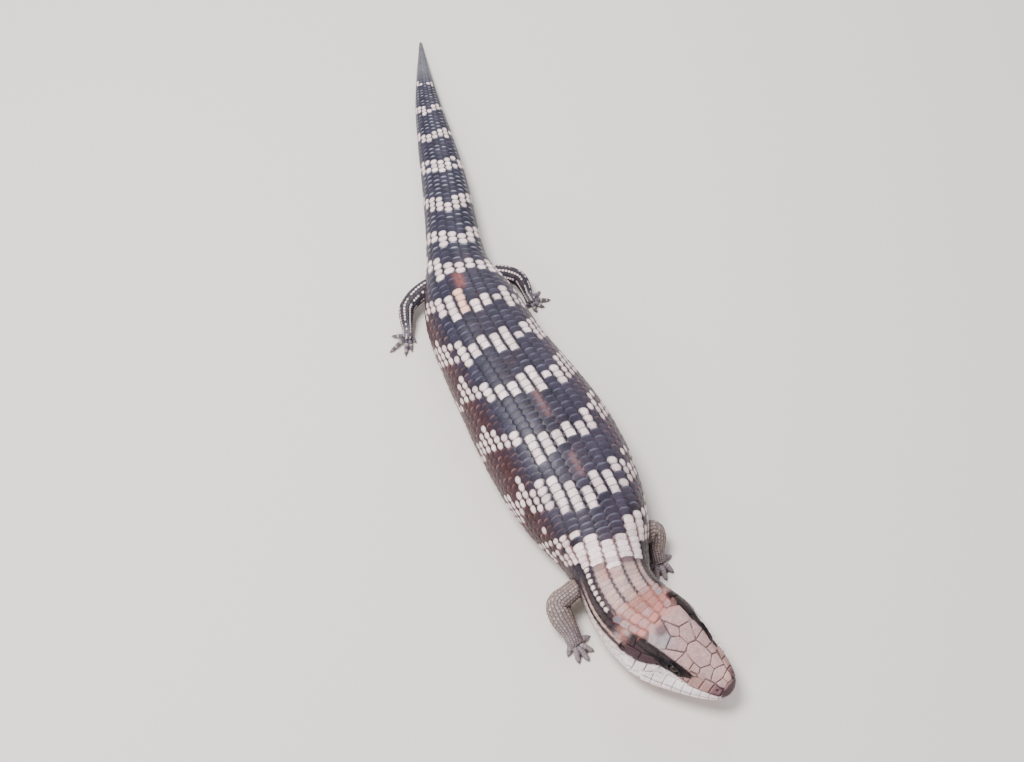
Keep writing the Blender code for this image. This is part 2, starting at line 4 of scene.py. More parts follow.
import bpy
import numpy as np
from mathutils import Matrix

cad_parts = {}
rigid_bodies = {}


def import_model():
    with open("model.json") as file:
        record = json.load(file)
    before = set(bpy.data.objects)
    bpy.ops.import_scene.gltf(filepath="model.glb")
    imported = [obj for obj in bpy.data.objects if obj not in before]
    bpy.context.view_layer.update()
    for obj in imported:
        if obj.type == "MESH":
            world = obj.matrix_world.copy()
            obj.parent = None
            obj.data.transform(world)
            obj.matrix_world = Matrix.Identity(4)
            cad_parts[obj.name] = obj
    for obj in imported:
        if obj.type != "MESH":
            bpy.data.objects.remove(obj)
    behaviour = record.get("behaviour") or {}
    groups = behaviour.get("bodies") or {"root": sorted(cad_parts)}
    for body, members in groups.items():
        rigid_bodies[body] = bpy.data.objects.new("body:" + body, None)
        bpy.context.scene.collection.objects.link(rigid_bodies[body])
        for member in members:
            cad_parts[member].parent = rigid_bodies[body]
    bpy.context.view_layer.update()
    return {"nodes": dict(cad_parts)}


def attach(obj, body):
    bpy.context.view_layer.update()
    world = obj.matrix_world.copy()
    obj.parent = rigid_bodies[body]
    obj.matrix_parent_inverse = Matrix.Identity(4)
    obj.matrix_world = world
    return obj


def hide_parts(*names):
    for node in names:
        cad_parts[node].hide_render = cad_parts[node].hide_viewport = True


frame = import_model()
MM = 0.001
ROUND = 2 * math.pi
print("nodes in the frame:", len(frame["nodes"]))

# %% [markdown]
# # A blue-tongued skink, dressed
#
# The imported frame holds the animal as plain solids. This lesson lays the real animal's surface over them: one skin
# under everything, then the shields of the head, the scales of the body, tail and legs, the eyes, the lids and the
# claws.
#
# All the working sizes are millimetres. The body is described by two numbers, as a tailor would: s, the distance
# back from the snout along the spine, and a, the distance round the body from the line of the crown, which is
# positive on the animal's left. Everything that grows on the body is placed by those two numbers.

# %% Sizes of the body
ORIGIN_S = 192.7
TAIL_END = 486.0
HEAD_END = 66
NECK_END = 96
TRUNK_END = 300
HEADING_S = [0, 50, 62, 74, 88, 102, 114, 132, 152, 171, 192, 212, 233, 254, 266, 279, 293, 305, 318, 330, 355, 382,
             410, 439, 465, 486]
HEADING = [-29, -29, -21, -5.5, 6, 5.4, -1, -4.8, -5, -6.2, -7.6, -7.6, -5.4, -1.2, 1.6, 3.4, 7, 11.4, 13.2, 13.6,
           12.2, 10, 10.2, 13, 15, 15]
BODY_S = [50, 58, 67, 80, 96, 105, 114, 132, 152, 171, 192, 212, 233, 254, 266, 279, 293, 305, 330, 355, 382, 410,
          439, 465, 486]
HALF_WIDTH = [23.5, 22.6, 21, 19.4, 22.6, 26.4, 29.4, 34, 36.7, 37, 35.7, 33.4, 31.2, 29.5, 28.4, 25.4, 21, 18.1,
              15.8, 14.5, 12.7, 10.2, 6.9, 3.5, 0.8]
TOP = [37.2, 38, 38.6, 39.4, 41, 42.2, 43.5, 45.6, 47, 47.4, 46.3, 44.3, 42, 39.8, 38.2, 35.4, 31.8, 29, 26, 23.4,
       20.2, 16.3, 11.4, 6.2, 1.8]
UNDER = [5.6, 4.8, 3.8, 2, -0.3, -0.8, -1, -1.3, -1.4, -1.4, -1.4, -1.3, -1.2, -1, -0.9, -0.8, -0.7, -0.6, -0.5,
         -0.5, -0.4, -0.4, -0.3, -0.2, -0.1]
HEAD_D = [0, 1.2, 3, 6, 10, 15, 20, 27, 35, 45, 58, 80]
NOSE_Z = 15.6
CROWN_Z = [NOSE_Z, 19.2, 22, 24.2, 25.9, 27.8, 29.6, 32, 34.4, 36.5, 38, 39.4]
BROW_X = [0, 2.5, 3.8, 5.2, 6.6, 8.2, 9.7, 11.8, 13.8, 15.6, 16, 14]
BROW_Z = [NOSE_Z, 18.6, 21.2, 23.1, 24.6, 26.3, 27.9, 30, 31.7, 33, 34, 35]
CHEEK_X = [0, 3.9, 5.9, 7.9, 9.8, 11.7, 13, 14.3, 17.8, 20.4, 20, 18]
CHEEK_Z = [NOSE_Z, 16.6, 18.8, 20.2, 21, 21.8, 22.4, 23.2, 24.3, 25.3, 26, 26]
LIP_X = [0, 4.5, 6.9, 9.3, 11.7, 14.1, 16.1, 18.6, 21.1, 23.3, 22.6, 19.3]
LIP_Z = [NOSE_Z, 15, 15.5, 16, 16.3, 16.5, 16.6, 16.6, 16.9, 17.6, 18, 18]
JAW_X = [0, 3.9, 6.2, 8.6, 11, 13.5, 15.7, 18.5, 21.4, 23.6, 22.4, 19]
JAW_Z = [NOSE_Z, 13, 12.8, 12.6, 12.3, 12, 11.7, 11.5, 11.6, 12, 12, 11]
THROAT_X = [0, 2.6, 4.5, 6.5, 8.4, 10.3, 12, 14.3, 16.4, 17.8, 17, 14]
THROAT_Z = [NOSE_Z, 11.6, 11, 10.4, 9.8, 9.2, 8.7, 8.1, 7.6, 6.6, 5.8, 3.4]
CHIN_Z = [NOSE_Z, 11.3, 10.6, 9.8, 9.1, 8.4, 7.8, 7.1, 6.5, 5.7, 4.8, 2]
RIDGE_V = [0, 0.26, 0.42, 0.54, 0.64, 0.78, 1]
BLEND = (50, 78)
WIDEST = 0.40
OVAL_ABOVE = 2.25
OVAL_BELOW = 2.6

# %% [markdown]
# ## The spine and the sections
#
# A lizard's body is a soft tube along a bent spine. It could be sculpted, but a swept section is exact and easy to
# measure on: the spine gives where a slice stands and which way it faces, and the section gives its outline. The
# head has its own sections, drawn through seven ridges such as the brow, the cheek and the lip, and the two blend
# on the neck.

# %% The spine and the sections
def cubic(t, step, start, end, start_slope, end_slope):
    """The point at share t of a cubic piece between two values with the given slopes."""
    return ((1 + 2 * t) * (1 - t) ** 2 * start + t * (1 - t) ** 2 * step * start_slope
            + t * t * (3 - 2 * t) * end - t * t * (1 - t) * step * end_slope)


def smooth(xs, ys, x):
    """A cubic curve through the points (xs, ys) whose slopes are held back, so that it never overshoots."""
    xs = np.asarray(xs, float)
    ys = np.asarray(ys, float)
    step = np.diff(xs)
    rise = np.diff(ys) / step
    same = rise[:-1] * rise[1:] > 0
    one = 2 * step[1:] + step[:-1]
    two = step[1:] + 2 * step[:-1]
    middle = (one + two) / (one / np.where(same, rise[:-1], 1) + two / np.where(same, rise[1:], 1))
    slope = np.concatenate([rise[:1], np.where(same, middle, 0), rise[-1:]])
    x = np.clip(np.asarray(x, float), xs[0], xs[-1])
    i = np.clip(np.searchsorted(xs, x, side="right") - 1, 0, len(step) - 1)
    return cubic((x - xs[i]) / step[i], step[i], ys[i], ys[i + 1], slope[i], slope[i + 1])


def ease(value, low, high):
    """0 below low, 1 above high, and a smooth S between them."""
    t = np.clip((value - low) / (high - low), 0, 1)
    return t * t * (3 - 2 * t)


def fade(value, low, high):
    """The other way round: 1 below low and 0 above high."""
    return 1 - ease(value, low, high)


def hill(value, start, top, end, foot):
    """0 before start, 1 from top to end, and 0 again past foot."""
    return ease(value, start, top) * fade(value, end, foot)


def sums(steps):
    """The running sum of some steps, from 0."""
    return np.concatenate([[0], np.cumsum(steps)])


def lengths(points):
    """The distance of each point of a path from its start."""
    return sums(np.linalg.norm(np.diff(points, axis=0), axis=1))


def unit(vectors):
    """The same directions, each of length 1."""
    return vectors / np.linalg.norm(vectors, axis=-1, keepdims=True)


FINE = 0.25
FINE_S = np.arange(0, TAIL_END + FINE, FINE)
FINE_H = np.radians(smooth(HEADING_S, HEADING, FINE_S))
FINE_X = sums(0.5 * FINE * (np.sin(FINE_H[1:]) + np.sin(FINE_H[:-1])))
FINE_Y = sums(0.5 * FINE * (np.cos(FINE_H[1:]) + np.cos(FINE_H[:-1])))
FINE_X -= np.interp(ORIGIN_S, FINE_S, FINE_X)
FINE_Y -= np.interp(ORIGIN_S, FINE_S, FINE_Y)


def place(s, side, z):
    """A point at distance s along the spine, this far to the animal's left, and this high."""
    h = np.interp(s, FINE_S, FINE_H)
    x = np.interp(s, FINE_S, FINE_X) + side * np.cos(h)
    y = np.interp(s, FINE_S, FINE_Y) - side * np.sin(h)
    return np.stack(np.broadcast_arrays(x, y, z), axis=-1)


def head_sections(d, v):
    """Side and height of the head's outline for every distance d and every share v round it: a cubic through the
    ridges at each d, with v running from -1 to 1 by way of the crown at 0."""
    u = np.sqrt(d)
    roots = np.sqrt(HEAD_D)
    zero = [0 * u]
    px = np.stack(zero + [smooth(roots, row, u) for row in (BROW_X, CHEEK_X, LIP_X, JAW_X, THROAT_X)] + zero)
    pz = np.stack([smooth(roots, row, u)
                   for row in (CROWN_Z, BROW_Z, CHEEK_Z, LIP_Z, JAW_Z, THROAT_Z, CHIN_Z)])
    left = np.array(RIDGE_V)
    knots = np.concatenate([left[-3:-1] - 2, -left[:0:-1], left, 2 - left[-2:-4:-1]])
    points = np.stack([np.concatenate([px[-3:-1], -px[:0:-1], px, -px[-2:-4:-1]]),
                       np.concatenate([pz[-3:-1], pz[:0:-1], pz, pz[-2:-4:-1]])])
    gap = np.diff(knots)[:, None]
    rise = np.diff(points, axis=1) / gap
    slope = np.zeros_like(points)
    slope[:, 1:-1] = (rise[:, :-1] * gap[1:] + rise[:, 1:] * gap[:-1]) / (gap[1:] + gap[:-1])
    i = np.clip(np.searchsorted(knots, v, side="right") - 1, 1, len(gap) - 2)
    t = ((v - knots[i]) / gap[i, 0])[:, None]
    return cubic(t, gap[i], points[:, i], points[:, i + 1], slope[:, i], slope[:, i + 1]).transpose(0, 2, 1)


def body_sections(s, v):
    """Side and height of the trunk's outline: a full oval, squarer below, widest a little under half way up."""
    half, top, under = (smooth(BODY_S, row, s)[:, None] for row in (HALF_WIDTH, TOP, UNDER))
    level = under + WIDEST * (top - under)
    sine = np.sin(np.pi * v)
    cosine = np.cos(np.pi * v)
    power = np.where(cosine > 0, 2 / OVAL_ABOVE, 2 / OVAL_BELOW)
    side = half * np.sign(sine) * np.abs(sine) ** power
    reach = np.where(cosine > 0, top - level, level - under)
    return np.stack([side, level + reach * np.sign(cosine) * np.abs(cosine) ** power])


def sections(s, v):
    """Side and height of the whole body's outline. The head's sections turn into the trunk's over the neck."""
    share = ease(s, *BLEND)[:, None]
    return (body_sections(np.maximum(s, BODY_S[0]), v) * share
            + head_sections(np.minimum(s, HEAD_D[-1]), v) * (1 - share))


def outline(s, v):
    """The body's points at every s and v."""
    side, height = sections(s, v)
    return place(s[:, None], side, np.maximum(height, 0))


# %% [markdown]
# ## A sheet to measure on
#
# Scales are spaced evenly round the real body, so the outline is worked out once on a fine grid, and each ring of
# it is resampled at equal arc lengths. Any place (s, a) is then one lookup between four grid points. Local forms
# that the sections don't know, such as the mound of the eye, the cups of the ears and the nostrils, are added as
# small rises and dips along the normal, so that the skin and everything on it follow them.

# %% The sheet
STATIONS = np.concatenate([np.linspace(0.12, 7.61, 160) ** 2, np.arange(58.5, TAIL_END + 0.1, 1.0)])
HALF_COLUMNS = 128
FINE_HALF = 512
SHARES = np.linspace(0, 1, 257)


def normals_of(grid):
    """The way out of a grid of points, from the cross product of its two directions."""
    out = np.cross(np.gradient(grid, axis=1), np.gradient(grid, axis=0))
    return out / np.maximum(np.linalg.norm(out, axis=-1, keepdims=True), 1e-9)


def look_in(table, row, column):
    """The value of a table at a row and column with fractions, from its four nearest entries."""
    i = np.clip(row.astype(int), 0, table.shape[0] - 2)
    j = np.clip(column.astype(int), 0, table.shape[1] - 2)
    t, u = row - i, column - j
    if table.ndim == 3:
        t, u = t[..., None], u[..., None]
    return ((table[i, j] * (1 - u) + table[i, j + 1] * u) * (1 - t)
            + (table[i + 1, j] * (1 - u) + table[i + 1, j + 1] * u) * t)


ARC = np.stack([lengths(ring) for ring in outline(STATIONS, SHARES)])
HALF_ARC = ARC[:, -1]
EVEN = np.linspace(0, 1, HALF_COLUMNS + 1)
SHARE_OF = np.stack([np.interp(EVEN * row[-1], row, SHARES) for row in ARC])
section_v = np.concatenate([-SHARE_OF[:, :0:-1], SHARE_OF], axis=1)


def row_points(s, v):
    """The outline with its own v in every ring, as one slice of the fine grid for each station."""
    fine = outline(s, np.linspace(-1, 1, 2 * FINE_HALF + 1))
    at = (v + 1) * FINE_HALF
    low = np.clip(at.astype(int), 0, 2 * FINE_HALF - 1)
    t = (at - low)[..., None]
    rows = np.arange(len(s))[:, None]
    return fine[rows, low] * (1 - t) + fine[rows, low + 1] * t


SHEET = row_points(STATIONS, section_v)
SHEET_OUT = normals_of(SHEET)
SHEET_OUT[:, 0] = SHEET_OUT[:, -1] = unit(SHEET_OUT[:, 0] + SHEET_OUT[:, -1])
print("sheet of the body:", SHEET.shape, "half round the middle:", round(float(np.interp(171, STATIONS, HALF_ARC)), 1))


def station_of(s):
    """The row of the sheet, with its fraction, that stands at s."""
    return np.interp(s, STATIONS, np.arange(len(STATIONS)))


def half_arc(s):
    """The distance from the crown round to the middle of the belly."""
    return np.interp(s, STATIONS, HALF_ARC)


def look_up(table, s, a):
    """The value of a table over the sheet at (s, a). Past the belly it wraps."""
    return look_in(table, station_of(s), (a / half_arc(s) + 1) % 2 * HALF_COLUMNS)


def share_at(s, a):
    """The share v, 0 at the crown and 1 at the chin, of a place on the body, negative on the right."""
    return look_up(section_v, s, a)


def arc_at(s, v):
    """The arc distance a of a share v, also past the chin line."""
    over = np.abs(v) > 1
    inner = np.where(over, 2 - np.abs(v), np.abs(v))
    arc = look_in(ARC, station_of(s), inner * (len(SHARES) - 1))
    return np.sign(v) * np.where(over, 2 * half_arc(s) - arc, arc)


# %% [markdown]
# ## Rises and dips of the head
#
# The eye of this animal is a low mound under the brow with an almond opening in it. The ear is an open cup behind
# the jaw, and the nostril a small pit in the side of the snout. Each is one smooth bell round its centre: height
# times a curve that is 1 at the centre and 0 at the rim.

# %% Rises and dips
FLOOR_LIFT = 0.25
MOST_LIFT = 1.5
RELIEF_END = 60


def oval(s, v, *half):
    """An oval on each side of the head: the distance back and the arc of its middle, and its half sizes."""
    return s, float(arc_at(np.array(s), np.array(v))), *half


EYE = oval(27.9, 0.318, 3.5, 2.0)
MOUND = oval(27.9, 0.318, 6.6, 4.6)
EAR = oval(54.5, 0.40, 1.4, 2.5)
NOSTRIL = oval(5.2, 0.33, 1.0, 0.75)
MOUND_BELL = (MOUND, 1.5, 0.25, 1)
# Each bell of the relief: its oval, its height, and where it begins and ends to fall off, in half sizes of the oval.
BELLS = [MOUND_BELL, (EYE, -2.6, 0.75, 1.02), (EAR, -2.8, 0.5, 1.05), (NOSTRIL, -1.1, 0.4, 1.05)]


def away(s, a, centre):
    """How far a place is from the middle of an oval on either side of the head, in half sizes of the oval."""
    return np.hypot((s - centre[0]) / centre[2], (np.abs(a) - centre[1]) / centre[3])


def relief(s, a, bells=BELLS):
    """Height added to the sheet at (s, a), in millimetres."""
    return sum(height * fade(away(s, a, centre), low, high) for centre, height, low, high in bells)


def on_body(s, a, lift=0.0):
    """A place on the body: the sheet at (s, a), moved out by the relief and by lift. Where the belly rests on the
    floor the order is kept: the tops of the scales touch it, and what lies deeper stays that much above."""
    s, a, lift = np.broadcast_arrays(*(np.asarray(value, float) for value in (s, a, lift)))
    held = np.clip(s, STATIONS[0], TAIL_END)
    rise = relief(held, a) * (held < RELIEF_END) + lift
    spot = look_up(SHEET, held, a) + look_up(SHEET_OUT, held, a) * rise[..., None]
    spot[..., 2] = np.maximum(spot[..., 2], np.clip(FLOOR_LIFT - rise, 0, MOST_LIFT))
    return spot


# %% [markdown]
# ## Rows of scales
#
# A skink's scales stand in long straight rows, each scale lapping the front of the next, and every second row is
# half a scale out of step. The rows are 7 to 8 mm wide along the back, about 4.5 mm on the flanks, and fine at the
# tip of the tail. As the body narrows, rows end on the middle of the belly, as they do on the real animal.

# %% Rows of scales
ROW_WIDTHS = ([0, 30, 44, 54, 64, 80, 95, 110, 125, 160, 196, 240, 260, 288, 318, 340, 360, 400, 430, 460, 486],
              [3.4, 3.8, 4.6, 6.2, 7.8, 8.2, 7.9, 7.6, 7.2, 6.9, 6.7, 6.6, 6.6, 6.4, 5.6, 4.9, 4.5, 3.7, 2.9, 1.9, 1])
FLANK_S = [0, 50, 62, 90, 110, 280, 320, 360, 486]
FLANK_START = [1.5, 1.5, 1.5, 1.9, 3.2, 3.2, 3.0, 3, 3]
FLANK_SHARE = [0.8, 0.7, 0.52, 0.54, 0.64, 0.64, 0.8, 1, 1]
STEPS = ([0, 20, 44, 56, 67, 84, 100, 125, 160, 240, 290, 315, 340, 370, 400, 440, 470, 486],
         [3.0, 3.1, 3.9, 4.3, 2.6, 2.7, 3.4, 4.3, 4.5, 4.4, 4.4, 4.0, 3.6, 3.3, 3.0, 2.3, 1.6, 1.2])
ROW_SHIFT = -0.19
TURN_OVER = 0.5


def row_width(s):
    """The width of a row of scales on the back."""
    return np.interp(s, *ROW_WIDTHS)


def scale_step(s):
    """The distance from one scale of a row to the next."""
    return np.interp(s, *STEPS)


def row_place(row, s):
    """The arc distance of a row: its number times the width of a row on the back, less what is saved by the
    narrower rows of the flank past their start."""
    start = np.interp(s, FLANK_S, FLANK_START)
    saved = 1 - np.interp(s, FLANK_S, FLANK_SHARE)
    past = np.maximum(np.abs(row) - start, 0)
    past = np.where(past < TURN_OVER, past ** 2 / (2 * TURN_OVER), past - 0.5 * TURN_OVER)
    return np.sign(row) * row_width(s) * (np.abs(row) - saved * past)


def row_number(s, a):
    """The other way round: the row, with its fraction, that stands at an arc distance."""
    start = np.interp(s, FLANK_S, FLANK_START)
    share = np.interp(s, FLANK_S, FLANK_SHARE)
    over = np.abs(a) / row_width(s) - start
    row = np.where(over < 0, over, (over - (1 - share) * 0.5 * TURN_OVER) / share)
    row = np.where((over >= 0) & (row < TURN_OVER), over, row)
    return np.sign(a) * (row + start)


# One scale: 13 points round its edge, as (across, along) shares, from its tip at the rear round to its root.
half_edge = [(0.32, 0.985), (0.62, 0.93), (0.86, 0.81), (0.99, 0.64), (0.96, 0.38), (0.60, 0.0)]
SCALE_EDGE = np.array([(0, 1.0)] + half_edge + [(-x, y) for x, y in half_edge[::-1]])
SCALE_MIDDLE = np.array([0, 0.66])
# Rings of the scale from its underside up: share of the edge's size, height, and how dark its rim is there.
SCALE_RINGS = [(0.97, -0.45, 1.0), (1.0, -0.13, 1.0), (0.90, 0.02, 0.5), (0.68, 0.11, 0.1), (0.51, 0.15, 0.0),
               (0.26, 0.19, 0.0)]
SCALE_TOP = 0.21
EDGE_COUNT = len(SCALE_EDGE)


def rings_of_faces(rows, count, closed=False):
    """The four-cornered faces between rings of points that follow each other in a list. A closed set of rings also
    joins its last ring to its first."""
    k = np.arange(count)
    n = (k + 1) % count
    here = (np.arange(rows if closed else rows - 1) * count)[:, None]
    after = (here + count) % (rows * count)
    return np.stack([here + k, here + n, after + n, after + k], axis=-1).reshape(-1, 4)


def fan_of_faces(start, count, pole):
    """The triangles between a ring of points and one point in its middle."""
    k = np.arange(count)
    return np.column_stack([start + k, start + (k + 1) % count, np.full(count, pole)])


def scale_template():
    """Points of one scale as rows of across, along, height and rim darkness, and its faces."""
    rows = []
    for share, height, dark in SCALE_RINGS:
        ring = SCALE_MIDDLE + (SCALE_EDGE - SCALE_MIDDLE) * share
        rows.append(np.column_stack([ring, np.full(EDGE_COUNT, height), np.full(EDGE_COUNT, dark)]))
    rows.append(np.array([[*SCALE_MIDDLE, SCALE_TOP, 0.0]]))
    points = np.concatenate(rows)
    last = (len(SCALE_RINGS) - 1) * EDGE_COUNT
    return (points, rings_of_faces(len(SCALE_RINGS), EDGE_COUNT), fan_of_faces(last, EDGE_COUNT, len(points) - 1),
            np.arange(EDGE_COUNT)[::-1][None])


TEMPLATE, QUADS, FAN, BASE = scale_template()
ACROSS, ALONG, HEIGHT, RIM = TEMPLATE.T[:, None]
print("one scale has", len(QUADS) + len(FAN) + 1, "faces")


# %% [markdown]
# ## Markings
#
# The colours of the real animal are patterns of places: cream bands across a dark back, tan stripes on the neck,
# a black stripe behind the eye, white lips. They could be painted on an image, but a rule for each place is
# sharper, has no seams, and serves the skin and every scale alike. `ground` gives the colour of the scales between
# the bands at any (s, a), and `in_band` says how far inside a cream band a place is.

# %% Markings
INK = np.array([0.007, 0.005, 0.008])
BLUE_BLACK = np.array([0.038, 0.035, 0.060])
PLUM = np.array([0.048, 0.024, 0.034])
RED_BROWN = np.array([0.054, 0.022, 0.023])
VIOLET = np.array([0.080, 0.064, 0.094])
CREAM = np.array([0.90, 0.75, 0.75])
TAN = np.array([0.54, 0.365, 0.325])
TAUPE = np.array([0.46, 0.295, 0.28])
PINK = np.array([0.52, 0.17, 0.14])
BLUE_GREY = np.array([0.25, 0.27, 0.31])
LIP_WHITE = np.array([0.97, 0.85, 0.86])
JAW_PINK = np.array([0.80, 0.56, 0.55])
BELLY = np.array([0.52, 0.43, 0.36])
# Painted highlights: the blue sheen lightens the rear edge of each dark scale, and the pink one does so on the flanks.
# The pink also colours small patches on the back and the mauve between the collar's columns.
SHEEN_BLUE = np.array([0.22, 0.23, 0.33])
PINK_SHEEN_AND_MAUVE = np.array([0.38, 0.20, 0.19])
TAIL_GREY = np.array([0.125, 0.125, 0.15])

# Edges down the side of the head, as lists of s and of the share v: the black stripe's two, and the upper lip's.
STRIPE_TOP = ([17, 19.8, 25, 30.5, 40.5, 50.5, 56], [0.31, 0.262, 0.232, 0.21, 0.20, 0.20, 0.225])
STRIPE_FOOT = ([17, 19.3, 23.3, 28, 31.5, 35, 39.5, 50, 56],
               [0.31, 0.34, 0.385, 0.395, 0.385, 0.335, 0.295, 0.275, 0.27])
LIP_EDGE = ([0, 3, 8, 14, 20, 24, 28, 31.5, 34.3, 39, 45.3, 52, 58, 66],
            [0.5, 0.47, 0.452, 0.442, 0.43, 0.42, 0.402, 0.385, 0.365, 0.397, 0.432, 0.452, 0.43, 0.46])
# Each band: its place along the crown, half its length, and how much later it comes on the right and the left side.
BANDS = np.array([(93, 9.5, 0.0156, 0.0175), (125, 8.8, 0.0146, 0.0108), (160, 7.2, 0.017, 0.00875),
                  (196, 6.4, 0.0156, 0.0055), (229, 6.2, 0.0112, 0.0035), (257.5, 6.3, 0.0143, 0.0037),
                  (288.5, 5.6, 0.0217, -0.008), (312, 4.5, 0.0176, 0.019), (338.5, 4.4, 0.0261, 0.0238),
                  (370, 4.4, 0.0167, 0.0093), (396, 3.7, 0.027, 0.0139), (420, 2.8, 0.036, 0), (444.5, 1.2, 0.065, 0)])


def mix(one, two, share):
    """The colour one where share is 0 and two where it is 1."""
    return one + (two - one) * np.asarray(share)[..., None]


def lay(colour, *layers):
    """A colour with others laid over it in turn, each with its share at every place."""
    for over, share in layers:
        colour = mix(colour, over, share)
    return colour


def wander(s, a, size, seed):
    """A soft unevenness between -1 and 1: a sum of three crossed waves whose lengths are near the given size."""
    k = ROUND / size
    return (np.sin(k * s + 1.7 * seed + 1.3 * np.sin(0.8 * k * a + seed))
            + np.sin(k * a * 1.13 + 2.9 * seed + 1.1 * np.sin(0.7 * k * s - seed))
            + np.sin(k * (0.6 * s - 0.8 * a) + 4.1 * seed)) / 3


def cloud(s, a, size, seed):
    """The same unevenness as a share between 0 and 1."""
    return 0.5 + 0.5 * wander(s, a, size, seed)


def patch(s, a, s_range, a_range, soft):
    """1 inside a rectangle of (s, a) and 0 outside, with soft edges."""
    (s0, s1), (a0, a1) = s_range, a_range
    return hill(s, s0 - soft, s0 + soft, s1 - soft, s1 + soft) * hill(a, a0 - soft, a0 + soft, a1 - soft, a1 + soft)


def in_band(s, a):
    """Millimetres inside the nearest cream band, negative outside. A band bends back by its lag times a squared, its
    edges sway, and the first one behind the shoulder dips on the right."""
    at, half, lag_right, lag_left = BANDS.T
    s, a = s[..., None], np.clip(a, -34, 34)[..., None]
    lag = np.where(a < 0, lag_right, lag_left) * a ** 2
    dip = 4.5 * fade(np.abs(a + 11.5), 5, 10) * (at == 160)
    sway = 1.3 * np.sin(a / 5 + at) + 0.9 * np.sin(a / 2.3 + 2 * at)
    return (half - np.abs(s - at - lag + dip - sway)).max(axis=-1)


def head_colour(s, a):
    """The head's colours by the share v down its side: taupe above, a black stripe through the eye, white lips."""
    v = share_at(s, a)
    w = np.abs(v)
    # The distance from the middle of a painted shade: a dark plum spot behind the interparietal, on the right side.
    shade_spot = np.hypot((s - 43.5) / 4.2, (v + 0.065) / 0.085)
    # Over the taupe lie a painted blue-grey sheen on the right parietals and the painted plum shade of the spot above.
    colour = lay(TAUPE, (TAUPE * [0.86, 0.90, 0.98], cloud(s, a, 17, 1)),
                 (BLUE_GREY * 1.25, 0.55 * patch(s, v * 100, (36, 49), (-20, -5), 1.5)),
                 (PLUM * 2.2, 0.75 * fade(shade_spot, 0.3, 1.0)))
    streaks = wander(0.35 * s, a, 1.9, 15) + 0.7 * wander(0.5 * s, a, 0.9, 4)
    colour = colour * ((1 + 0.07 * streaks) * (1 + 0.22 * fade(s, 8, 24)))[..., None]
    blush = ease(s, 43, 50) * fade(w, 0.17, 0.26) * (0.30 + 0.45 * ease(wander(s, a, 7, 3), -0.6, 0.3))
    top, foot, lip = (np.interp(s, *edge) for edge in (STRIPE_TOP, STRIPE_FOOT, LIP_EDGE))
    stripe = hill(w, top - 0.008, top + 0.008, foot - 0.012, foot + 0.012) * hill(s, 17.6, 19.4, 53, 58)
    pale = lay(LIP_WHITE, (LIP_WHITE * [0.93, 0.96, 1.03], cloud(s, a, 9, 5)),
               (JAW_PINK, ease(w, 0.585, 0.64) * (1 - 0.5 * ease(w, 0.70, 0.8))),
               (LIP_WHITE * [0.80, 0.83, 0.80], ease(s, 30, 34) * fade(w, 0.47, 0.50)))
    return lay(colour, (PINK * 1.1, blush), (TAUPE * [0.72, 0.62, 0.60], 0.7 * ease(w, 0.235, 0.27) * fade(s, 22, 26)),
               (PLUM * 2.4, 0.75 * fade(s, 6.5, 9.5) * ease(w, 0.19, 0.27)),
               (PLUM * 1.1, 0.88 * fade(s, 2.2, 4.0) * fade(w, 0.5, 0.56)),
               (PLUM * 0.72, 0.95 * ease(s, 30, 35) * ease(w, 0.255, 0.275)), (INK, 0.95 * stripe),
               (pale, ease(w, lip - 0.008, lip + 0.010)), (INK, 0.9 * fade(away(s, a, EYE), 1.35, 1.75)),
               (PLUM, 0.9 * fade(away(s, a, EAR), 1.5, 2.0)))


def neck_colour(s, a):
    """The neck's colours: tan stripes parted by dark lines, then black, tan, black and white down each side."""
    reach = np.abs(a)
    stain = ease(wander(s, a, 9, 6), -0.5, 0.3)
    spots = ease(wander(s, a, 6.5, 11), 0.35, 0.6)
    parting = np.abs((row_number(s, a) - ROW_SHIFT) % 1 - 0.5) * row_width(s)
    colour = lay(TAN, (TAN * [0.80, 0.84, 0.95], cloud(s, a, 11, 2)), (PINK, 0.36 * stain * fade(s, 60, 70)),
                 (PINK * 1.1, 0.3 * fade(s, 60, 68))) * (1 - 0.2 * fade(s, 60, 70))[..., None]
    return lay(colour, (BLUE_GREY * 1.6, 0.6 * spots * fade(s, 60, 66)),
               (PINK, 0.5 * patch(s, a, (78, 92), (-9, -3), 2)), (PLUM * 2.0, 0.6 * patch(s, a, (83, 91), (-2, 12), 2)),
               (BLUE_BLACK * 0.8, 0.92 * fade(parting, 0.45, 1.15) * ease(s, 57, 63)),
               (INK * 2.2, 0.94 * hill(reach, 13.6, 14.8, 22.5, 24) * ease(s, 56, 62)),
               (TAN * 0.85, 0.9 * hill(reach, 22.8, 23.8, 24.8, 25.6)),
               (INK * 1.6, 0.9 * hill(reach, 24.9, 25.6, 27.6, 28.6)),
               (mix(BELLY, LIP_WHITE, 0.5), ease(reach, 27.6, 29.0)))


